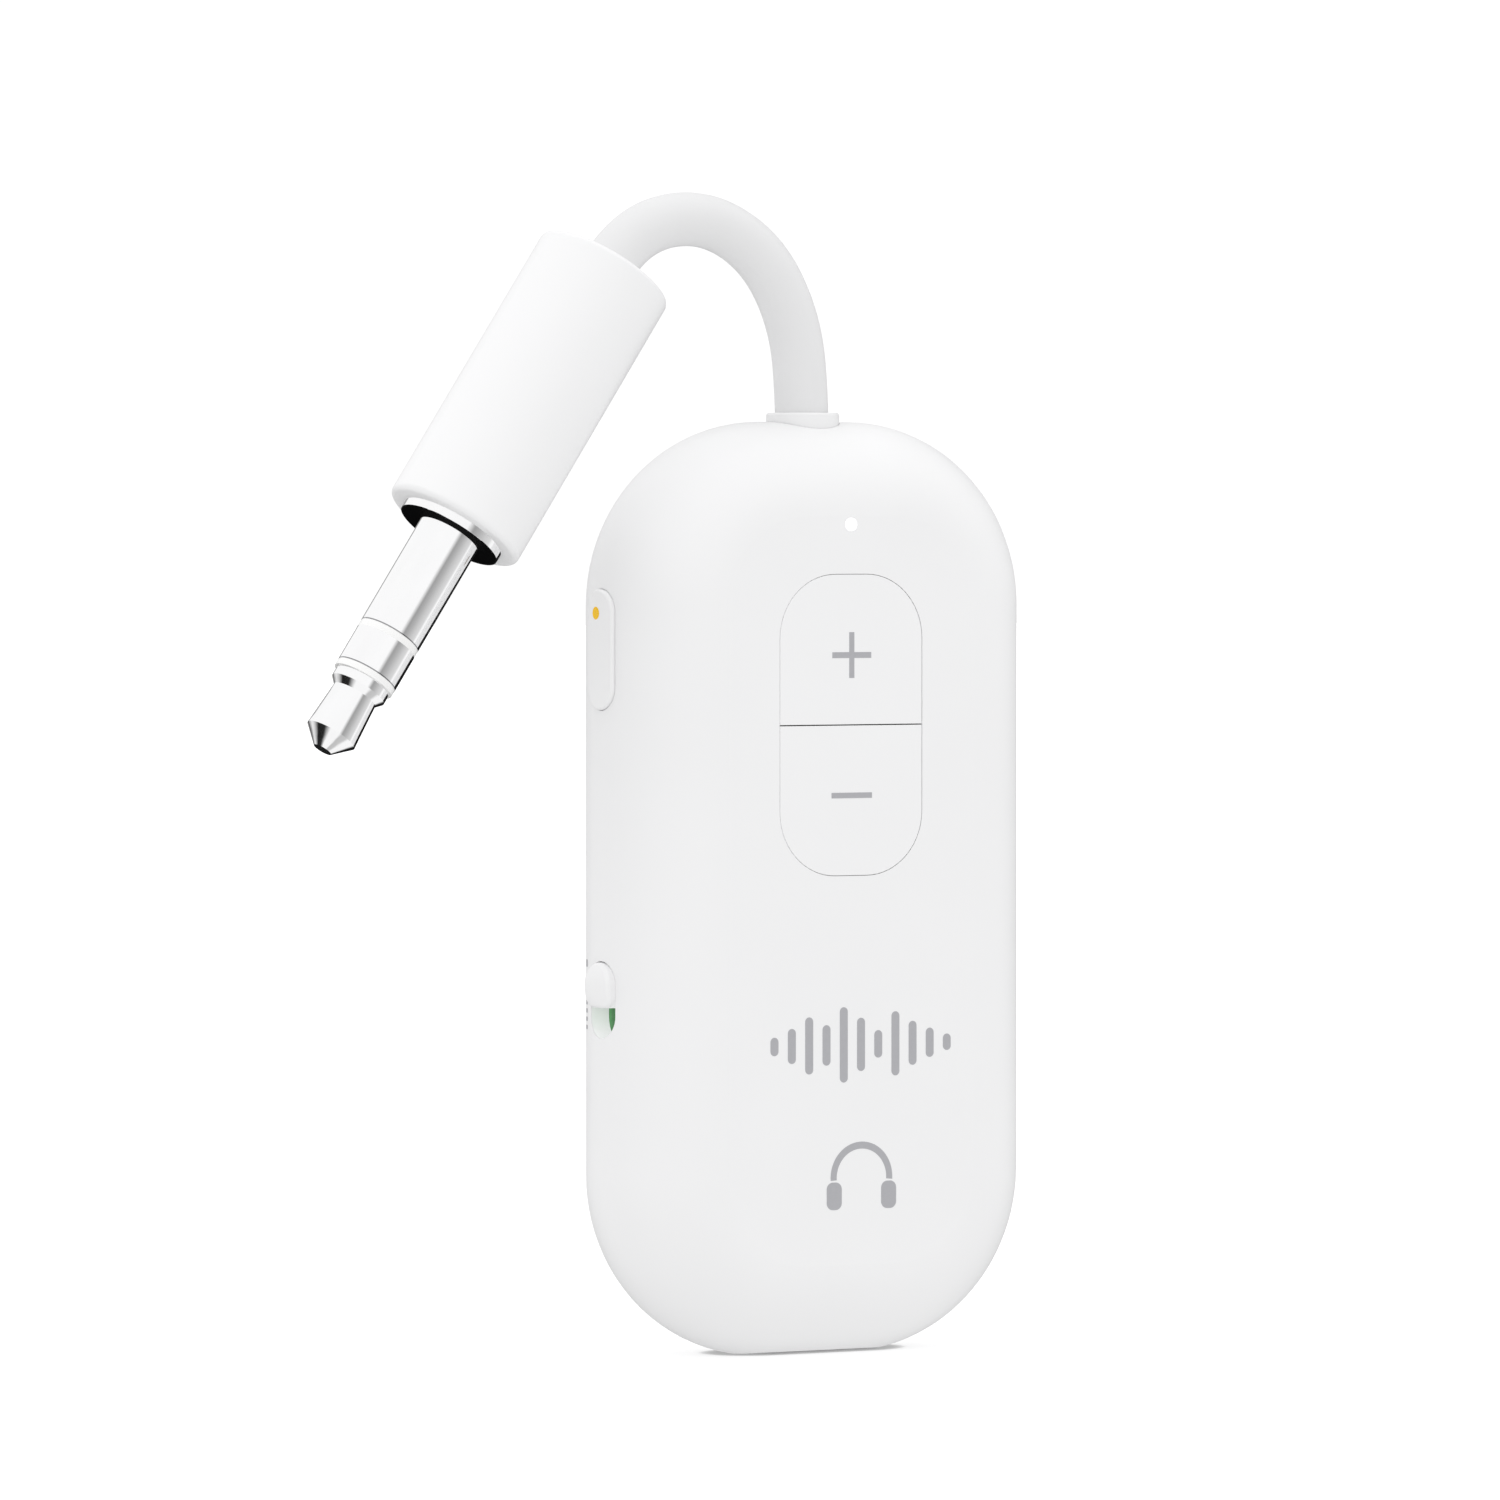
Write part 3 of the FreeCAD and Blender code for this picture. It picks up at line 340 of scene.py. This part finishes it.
def printed_ink():
    """Pad-printed grey: slightly uneven film over the moulded texture."""
    look = Look("printed_ink", (0.385, 0.385, 0.405), 0.5, IOR=1.5)
    film = look.noise(0.14, 2.0)
    look.paint(look.shade(film, 0.04))
    look.gloss(film, 0.44, 0.58)
    look.bump(film, 0.0006)
    return look.material


def green_film():
    """Printed film: deep green, brighter towards its back edge, with a faint painted glow, stronger there, so
    that it shows in its slot.
    """
    look = Look("green_film", (0.012, 0.15, 0.022), 0.38, IOR=1.5)
    fine = look.noise(0.1, 2.0)
    edge = look.spread(look.part("Y"), 0, 1, 0.6 * MM, 1.0 * MM)
    look.paint(look.mix(edge, look.shade(fine, 0.12), (0.07, 0.3, 0.09)))
    look.gloss(fine, 0.3, 0.46)
    look.bump(fine, 0.0008)
    # Painted light: the film gives off a faint green glow, stronger towards its back edge.
    look.shader.inputs["Emission Color"].default_value = (0.14, 1.0, 0.18, 1)
    look.join(look.spread(edge, 0.02, 0.07), look.shader.inputs["Emission Strength"])
    return look.material


def side_radius(look):
    """How far out a point is from the middle of the rounded left side's section."""
    flat = look.add("ShaderNodeVectorMath", operation="MULTIPLY")
    look.join(look.place, flat.inputs[0])
    flat.inputs[1].default_value = (1, 1, 0)
    away = look.add("ShaderNodeVectorMath", operation="DISTANCE")
    look.join(flat.outputs[0], away.inputs[0])
    away.inputs[1].default_value = mm(*SIDE_CENTRE, 0)
    return away.outputs["Value"]


def painted_glow(look, colour, strength, *shares):
    """Painted light: a faint glow where every share is above 0, standing in for the light a narrow gap
    catches of a bright studio.
    """
    for share in shares:
        strength = look.math("MULTIPLY", strength, share)
    if isinstance(colour, tuple):
        look.shader.inputs["Emission Color"].default_value = (*colour, 1)
    else:
        look.join(colour, look.shader.inputs["Emission Color"])
    look.join(strength, look.shader.inputs["Emission Strength"])


def painted_slot_glow(look):
    """Painted light on the walls of the slide switch's slot: a green glow near the knob, stronger and pale
    further down.
    """
    radius, level = side_radius(look), look.part("Z")
    paleness = look.spread(level, 1, 0, 17.7 * MM, 19.0 * MM)
    colour = look.mix(paleness, (0.3, 1.0, 0.3), (0.95, 1.0, 0.95))
    strength = look.spread(paleness, 0.05, 0.16)
    under_surface = look.spread(radius, 1, 0, 5.06 * MM, 5.12 * MM)
    above_bottom = look.spread(radius, 0, 1, 3.95 * MM, 4.0 * MM)
    on_left_side = look.spread(look.part("X"), 1, 0, -11.0 * MM, -10.9 * MM)
    above_lower_end = look.spread(level, 0, 1, 17.2 * MM, 17.3 * MM)
    below_knob = look.spread(level, 1, 0, 19.2 * MM, 19.5 * MM)
    painted_glow(look, colour, strength, under_surface, above_bottom, on_left_side, above_lower_end,
               below_knob)


def painted_knob_glow(look):
    """Painted light: a faint white glow on the slide switch's flanks below the housing's surface, except at
    its top end.
    """
    strength = look.spread(side_radius(look), 0.16, 0, 5.12 * MM, 5.3 * MM)
    below_top_end = look.spread(look.part("Z"), 1, 0, 21.25 * MM, 21.55 * MM)
    painted_glow(look, (1.0, 1.0, 1.0), strength, below_top_end)


# ---- materials of the working parts inside ----

def board_mask():
    """Green solder mask over copper tracks, with tinned vias."""
    look = Look("board_mask", (0.012, 0.13, 0.05), 0.35, IOR=1.5)
    steps = look.math("PINGPONG", look.cells(1.7, distance="MANHATTAN"), 0.16)
    lines = look.spread(steps, 0, 1, 0.09, 0.1)
    tinted = look.mix(lines, (0.01, 0.1, 0.04), (0.02, 0.2, 0.07))
    vias = look.spread(look.cells(1.1), 1, 0, 0.13, 0.15)
    look.paint(look.mix(vias, tinted, (0.55, 0.52, 0.45)))
    look.join(look.spread(vias, 0.0, 0.9), look.shader.inputs["Metallic"])
    look.gloss(look.noise(0.5), 0.28, 0.42)
    look.bump(lines, 0.02)
    return look.material


def chip_epoxy():
    """Black filled epoxy, finely speckled."""
    look = Look("chip_epoxy", (0.022, 0.022, 0.025), 0.55, IOR=1.55)
    speckle = look.noise(0.06, 2.0)
    look.paint(look.shade(speckle, 0.35))
    look.gloss(speckle, 0.48, 0.66)
    look.bump(speckle, 0.004)
    return look.material


def sheet_steel(name, colour, low, high, grain_axis):
    """Rolled or drawn sheet: fine lines along one direction and cloudy tarnish."""
    look = Look(name, colour, (low + high) / 2, Metallic=1.0)
    scale = [1.0, 1.0, 1.0]
    scale[grain_axis] = 0.03
    lines = look.noise(0.06, 2.0, look.stretched(*scale))
    clouds = look.noise(2.2, 3.0)
    look.paint(look.shade(look.contrast(clouds), 0.08))
    look.gloss(look.blend(lines, clouds, 0.6), low, high)
    look.bump(lines, 0.0015)
    return look.material


def gold_flash():
    """Thin gold plating."""
    look = Look("gold_flash", (0.83, 0.6, 0.22), 0.22, Metallic=1.0)
    fine = look.noise(0.2, 2.0)
    look.paint(look.shade(fine, 0.06))
    look.gloss(fine, 0.16, 0.3)
    look.bump(fine, 0.0008)
    return look.material


def pouch_foil():
    """The cell's foil pouch, softly creased."""
    look = Look("pouch_foil", (0.62, 0.62, 0.64), 0.3, Metallic=0.9)
    creases = look.cells(2.6, "SMOOTH_F1")
    fine = look.noise(0.35, 3.0)
    look.paint(look.shade(fine, 0.05))
    look.gloss(fine, 0.24, 0.4)
    look.bump(creases, 0.05)
    look.bump(fine, 0.006)
    return look.material


def foam():
    """Open-celled grey foam."""
    look = Look("foam_pad", (0.2, 0.2, 0.215), 0.85, IOR=1.4)
    cell = look.cells(0.22)
    look.paint(look.shade(look.spread(cell, 0, 1, 0, 0.7), 0.25))
    look.gloss(cell, 0.75, 0.95)
    look.bump(cell, 0.05)
    return look.material


def ceramic():
    """The antenna's pale fired ceramic."""
    look = Look("antenna_ceramic", (0.52, 0.5, 0.47), 0.6, IOR=1.6)
    fine = look.noise(0.08, 3.0)
    look.paint(look.shade(fine, 0.1))
    look.gloss(fine, 0.5, 0.7)
    look.bump(fine, 0.004)
    return look.material


def lead_insulation():
    """Two-coloured insulation: black to the left of the middle, red to the right."""
    look = Look("lead_insulation", (0.45, 0.02, 0.02), 0.45, IOR=1.45)
    side = look.spread(look.part("X"), 0, 1, -0.05 * MM, 0.05 * MM)
    fine = look.noise(0.15, 2.0)
    black = look.mix(fine, (0.012, 0.012, 0.014), (0.03, 0.03, 0.033))
    red = look.mix(fine, (0.38, 0.015, 0.015), (0.5, 0.03, 0.025))
    look.paint(look.mix(side, black, red))
    look.gloss(fine, 0.38, 0.52)
    look.bump(fine, 0.003)
    return look.material


# ---- which node gets which look ----

def dress(material, *names):
    for name in names:
        NODES[name].material_slots[0].material = material


def dress_housing():
    keys = moulded("key_plastic", (0.805, 0.805, 0.81), 0.42, grain=0.09)
    knob = moulded("knob_plastic", (0.805, 0.805, 0.81), 0.42, grain=0.09, glow=painted_knob_glow)
    dress(moulded("shell_plastic", (0.8, 0.8, 0.805), 0.45, glow=painted_slot_glow), "front_housing", "rear_cover")
    dress(keys, "volume_up_button", "volume_down_button", "power_button")
    dress(knob, "mode_knob")
    dress(green_film(), "mode_indicator")
    dress(light_pipe("status_lens", (0.93, 0.93, 0.93), (1.0, 1.0, 1.0), 0.35, (0.9, 0.9, 0.92)),
          "status_light_pipe")
    dress(light_pipe("amber_lens", (0.8, 0.47, 0.0), (1.0, 0.58, 0.0), 0.05, (0.76, 0.42, 0.0)),
          "power_light_pipe")


def dress_plug():
    pigtail.data.materials.append(cable_jacket())
    dress(moulded("collar_plastic", (0.79, 0.79, 0.795), 0.45), "cable_collar")
    dress(moulded("barrel_plastic", (0.81, 0.81, 0.815), 0.4, grain=0.13), "plug_barrel")
    dress(plating(), "plug_shoulder", "plug_sleeve", "plug_ring", "plug_tip")
    dress(insulator("black_insulator", (0.003, 0.003, 0.0032), 0.65, 0.01),
          "plug_shoulder_ring", "socket_tongue")
    dress(insulator("white_insulator", (0.84, 0.84, 0.835), 0.3), "plug_spacers")


def dress_inside():
    dress(light_pipe("led_lens", (0.9, 0.88, 0.8), (1.0, 0.97, 0.9), 0.1, (0.8, 0.78, 0.7)),
          "status_led", "power_led")
    dress(board_mask(), "main_board")
    dress(chip_epoxy(), "radio_chip", "audio_chip", "charger_chip", "small_chips", "volume_up_stem",
          "volume_down_stem", "power_stem", "mode_lever")
    dress(sheet_steel("tinned_can", (0.62, 0.62, 0.64), 0.25, 0.4, 2), "radio_shield", "crystal",
          "volume_up_switch", "volume_down_switch", "power_switch", "mode_switch")
    dress(sheet_steel("drawn_shell", (0.6, 0.6, 0.62), 0.22, 0.38, 2), "socket_shell")
    dress(sheet_steel("zinc_screw", (0.4, 0.4, 0.42), 0.3, 0.45, 0), "board_screws")
    dress(gold_flash(), "socket_contacts", "cable_crimp")
    dress(pouch_foil(), "battery_cell")
    dress(foam(), "battery_pad")
    dress(ceramic(), "chip_antenna")
    dress(lead_insulation(), "battery_leads", "pigtail_wires")


def limit_what_shows():
    """Keeps some pieces out of reflections, and the film and the barrel from tinting or shading others."""
    for name in ("plug_shoulder_ring", "plug_shoulder", "plug_barrel", "power_light_pipe"):
        NODES[name].visible_glossy = False
    for name in ("mode_indicator", "plug_barrel"):
        NODES[name].visible_diffuse = False
    NODES["plug_barrel"].visible_shadow = False


dress_housing()
dress_plug()
dress_inside()
limit_what_shows()


# ---- printed marks ----

# The ink film's thickness and where the flat front face lies along Y, in millimetres.
INK_THICKNESS = 0.008
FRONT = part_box("front_housing")[0].y / MM
INK = printed_ink()


def rounded_outline(width, height, radius, steps=8):
    """Corner points of a rounded rectangle about the origin, counter-clockwise."""
    points = []
    for i, (sx, sy) in enumerate(((1, 1), (-1, 1), (-1, -1), (1, -1))):
        centre = (sx * (width / 2 - radius), sy * (height / 2 - radius))
        for step in range(steps + 1):
            turn = math.pi / 2 * (i + step / steps)
            points.append((centre[0] + radius * math.cos(turn), centre[1] + radius * math.sin(turn)))
    return points


def moved(points, x, z):
    """An outline shifted across by x and up by z."""
    return [(px + x, pz + z) for px, pz in points]


def on_front(across, level, proud):
    """A point on the flat front face, raised by proud."""
    return mm(across, FRONT - proud, level)


def on_side(across, level, proud):
    """A point on the rounded left side, raised by proud; across is its distance back from the middle."""
    turn = math.asin((across - SIDE_CENTRE[1]) / EDGE_RADIUS)
    reach = EDGE_RADIUS + proud
    return mm(SIDE_CENTRE[0] - reach * math.cos(turn), SIDE_CENTRE[1] + reach * math.sin(turn), level)


def printed(name, outlines, body, surface=on_front):
    """A thin ink film: each outline of (across, level) points becomes a closed slab on a surface."""
    build = bmesh.new()
    for outline in outlines:
        back = [build.verts.new(surface(x, z, 0)) for x, z in outline]
        front = [build.verts.new(surface(x, z, INK_THICKNESS)) for x, z in outline]
        build.faces.new(front)
        build.faces.new(back[::-1])
        for i in range(len(outline)):
            j = (i + 1) % len(outline)
            build.faces.new((front[j], front[i], back[i], back[j]))
    bmesh.ops.recalc_face_normals(build, faces=build.faces)
    mesh = bpy.data.meshes.new(name)
    build.to_mesh(mesh)
    build.free()
    mark = bpy.data.objects.new(name, mesh)
    mark.data.materials.append(INK)
    SCENE.collection.objects.link(mark)
    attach(mark, body)


def plus_outline(width, height, bar):
    """Corner points of a plus about the origin, counter-clockwise."""
    w, h, b = width / 2, height / 2, bar / 2
    return [(w, -b), (w, b), (b, b), (b, h), (-b, h), (-b, b), (-w, b), (-w, -b), (-b, -b), (-b, -h), (b, -h),
            (b, -b)]


def make_key_marks():
    """A plus on the upper key and a minus on the lower one."""
    across, plus_level, minus_level = 0.03, 38.2, 30.57
    plus = plus_outline(width=2.45, height=2.49, bar=0.32)
    minus = rounded_outline(width=2.55, height=0.3, radius=0.01, steps=1)
    printed("plus_mark", [moved(plus, across, plus_level)], "volume_up")
    printed("minus_mark", [moved(minus, across, minus_level)], "volume_down")


def make_wave_mark():
    """A row of level bars."""
    heights = (1.0, 1.9, 3.1, 2.2, 4.1, 2.9, 1.5, 3.5, 2.4, 1.6, 0.9)
    pitch, width, middle = 1.09, 0.5, (0.62, 17.0)
    bars = [moved(rounded_outline(width, height, width / 2 - 0.001),
                  middle[0] + (i - (len(heights) - 1) / 2) * pitch, middle[1])
            for i, height in enumerate(heights)]
    printed("wave_mark", bars, "receiver")


def make_headphone_mark():
    """A band a little longer than half a ring, with a rounded cup at each end."""
    middle, outer, inner = (0.65, 9.75), 1.95, 1.57
    first_turn, sweep, steps = -4, 188, 40
    turns = [math.radians(first_turn + sweep * i / steps) for i in range(steps + 1)]
    band = [(outer * math.cos(t), outer * math.sin(t)) for t in turns]
    band += [(inner * math.cos(t), inner * math.sin(t)) for t in reversed(turns)]
    cup, cup_reach, cup_drop = rounded_outline(width=0.95, height=1.5, radius=0.38), 1.72, 0.98
    cups = [moved(cup, middle[0] + side * cup_reach, middle[1] - cup_drop) for side in (-1, 1)]
    printed("headphone_mark", [moved(band, *middle), *cups], "receiver")


def make_side_marks():
    """Beside the slide switch: a dash at its upper place and a row of short ones at its lower one."""
    across, width, rounding = 1.88, 0.45, 0.1
    upper_level, lower_levels = 21.45, (19.32, 18.87, 18.42, 17.97)
    upper = moved(rounded_outline(width, 0.4, rounding), across, upper_level)
    lower = [moved(rounded_outline(width, 0.24, rounding), across, level) for level in lower_levels]
    printed("side_marks", [upper, *lower], "receiver", on_side)


make_key_marks()
make_wave_mark()
make_headphone_mark()
make_side_marks()


# ---- studio ----

# A painted contact shadow darkens the floor where the object is nearer to it than this, in millimetres.
CONTACT_REACH = 0.5

# Half the floor's width, in metres.
FLOOR_REACH = 3.0


def make_floor():
    """Pale paper that takes shadows, with a painted contact shadow where the object comes near, and gives no
    light back to the object.
    """
    build = bmesh.new()
    bmesh.ops.create_grid(build, x_segments=6, y_segments=6, size=FLOOR_REACH)
    mesh = bpy.data.meshes.new("floor")
    build.to_mesh(mesh)
    build.free()
    floor = bpy.data.objects.new("floor", mesh)
    SCENE.collection.objects.link(floor)
    look = Look("floor_paper", (0.9, 0.9, 0.9), 0.9, Specular_IOR_Level=0.1, Emission_Strength=0.2)
    look.shader.inputs["Emission Color"].default_value = (1, 1, 1, 1)
    grain = look.noise(3.0, 3.0)
    # Painted shadow: the floor's colour goes dark where ambient occlusion finds the object close.
    contact_shadow_ao = look.add("ShaderNodeAmbientOcclusion", samples=8)
    contact_shadow_ao.inputs["Distance"].default_value = CONTACT_REACH * MM
    unshadowed_share = look.spread(contact_shadow_ao.outputs["AO"], 0.3, 1, 0.2, 0.85)
    look.paint(look.mix(unshadowed_share, (0.02, 0.02, 0.02), look.shade(grain, 0.004)))
    look.bump(grain, 0.002)
    floor.data.materials.append(look.material)
    floor.visible_glossy = floor.visible_diffuse = floor.visible_shadow = False


class Sky:
    """The studio's surround: plain white light, and for reflections a room with grey and black cards."""

    def __init__(self):
        world = bpy.data.worlds.new("studio")
        SCENE.world = world
        world.use_nodes = True
        self.nodes, self.links = world.node_tree.nodes, world.node_tree.links
        self.nodes.clear()

    def shade_by_height(self, strength):
        """Light that is brightest from the horizon to a little above it, and weakest from below."""
        share = self.ranged(self.along((0, 0, 1)), -1, 1)
        return self.background(strength, self.tones(share, SKY_TONES))

    def background(self, strength, colour=None):
        made = self.nodes.new("ShaderNodeBackground")
        made.inputs["Color"].default_value = (1, 1, 1, 1)
        made.inputs["Strength"].default_value = strength
        if colour:
            self.links.new(colour, made.inputs["Color"])
        return made.outputs[0]

    def choose(self, switch, plain, special):
        """The plain light where the switch is 0, and the special one where it is 1."""
        made = self.nodes.new("ShaderNodeMixShader")
        self.links.new(switch, made.inputs["Fac"])
        self.links.new(plain, made.inputs[1])
        self.links.new(special, made.inputs[2])
        return made.outputs[0]

    def along(self, direction):
        """How far the looked-at direction points along another one."""
        where = self.nodes.new("ShaderNodeTexCoord")
        made = self.nodes.new("ShaderNodeVectorMath")
        made.operation = "DOT_PRODUCT"
        self.links.new(where.outputs["Generated"], made.inputs[0])
        made.inputs[1].default_value = direction
        return made.outputs["Value"]

    def ranged(self, source, start, end):
        """0 to 1 as a source goes from start to end."""
        made = self.nodes.new("ShaderNodeMapRange")
        made.inputs["From Min"].default_value = start
        made.inputs["From Max"].default_value = end
        self.links.new(source, made.inputs["Value"])
        return made.outputs["Result"]

    def tones(self, share, stops):
        """A grey for each share of the way round, from stops of (degrees, tone)."""
        ramp = self.nodes.new("ShaderNodeValToRGB")
        self.links.new(share, ramp.inputs["Fac"])
        marks = ramp.color_ramp.elements
        while len(marks) < len(stops):
            marks.new(0.5)
        for mark, (degrees, tone) in zip(marks, stops):
            mark.position = (degrees + 180) / 360
            mark.color = (tone, tone, tone, 1)
        return ramp.outputs["Color"]

    def cards(self):
        """What the plug reflects: cards standing round its axis, and others laid beyond its tip."""
        turn = self.nodes.new("ShaderNodeMath")
        turn.operation = "ARCTAN2"
        self.links.new(self.along(CARD_SIDE), turn.inputs[0])
        self.links.new(self.along(CARD_FRONT), turn.inputs[1])
        share = self.ranged(turn.outputs[0], -math.pi, math.pi)
        mixed = self.nodes.new("ShaderNodeMix")
        mixed.data_type = "RGBA"
        self.links.new(self.ranged(self.along(PLUG_AXIS), 0.03, 0.1), mixed.inputs["Factor"])
        self.links.new(self.tones(share, STANDING_CARDS), mixed.inputs[6])
        self.links.new(self.tones(share, LAID_CARDS), mixed.inputs[7])
        return mixed.outputs[2]


# The plug's reflections are laid out round its axis. Degrees are counted from the front, which faces the
# view squarely across the axis, towards the side. Each list gives the tones met on the way round.
CARD_FRONT = (PLUG_AXIS * VIEW_AHEAD.dot(PLUG_AXIS) - VIEW_AHEAD).normalized()
CARD_SIDE = CARD_FRONT.cross(PLUG_AXIS)
STANDING_CARDS = [(-180, 0.3), (-154, 0.4), (-147, 1.02), (28, 1.02), (42, 0.36), (56, 0.46), (76, 0.64),
                  (90, 0.72), (98, 1.02), (113, 1.02), (118, 0.01), (180, 0.01)]
LAID_CARDS = [(-180, 0.01), (-156, 0.01), (-140, 0.9), (-128, 0.8), (-108, 0.01), (-75, 0.02), (-55, 0.5),
              (-35, 1.0), (60, 1.0), (75, 0.55), (100, 0.6), (112, 1.0), (140, 1.0), (150, 0.01), (180, 0.01)]


# The surround's light, and its tones from straight below (-180) through the horizon (0) to straight above
# (180), as shares of it. The backdrop is what the view sees behind the object.
SKY_BRIGHTNESS = 1.18
BACKDROP_BRIGHTNESS = 1.05
SKY_TONES = [(-180, 0.78), (-70, 0.85), (0, 0.97), (70, 0.97), (180, 0.9)]


def make_world():
    """One surround for plain light, one for reflections, and a plain backdrop for the view."""
    sky = Sky()
    path = sky.nodes.new("ShaderNodeLightPath")
    lit = sky.choose(path.outputs["Is Glossy Ray"], sky.shade_by_height(SKY_BRIGHTNESS),
                     sky.background(1.0, sky.cards()))
    seen = sky.choose(path.outputs["Is Camera Ray"], lit, sky.background(BACKDROP_BRIGHTNESS))
    output = sky.nodes.new("ShaderNodeOutputWorld")
    sky.links.new(seen, output.inputs["Surface"])


OVERHEAD_STRENGTH = 0.55
OVERHEAD_SPREAD = math.radians(45)


def make_lights():
    """One broad soft light from straight above."""
    data = bpy.data.lights.new("overhead", "SUN")
    data.energy = OVERHEAD_STRENGTH
    data.angle = OVERHEAD_SPREAD
    lamp = bpy.data.objects.new("overhead", data)
    lamp.visible_glossy = False
    SCENE.collection.objects.link(lamp)


make_floor()
make_world()
make_lights()
SCENE.view_settings.view_transform = "Standard"

bpy.context.view_layer.update()
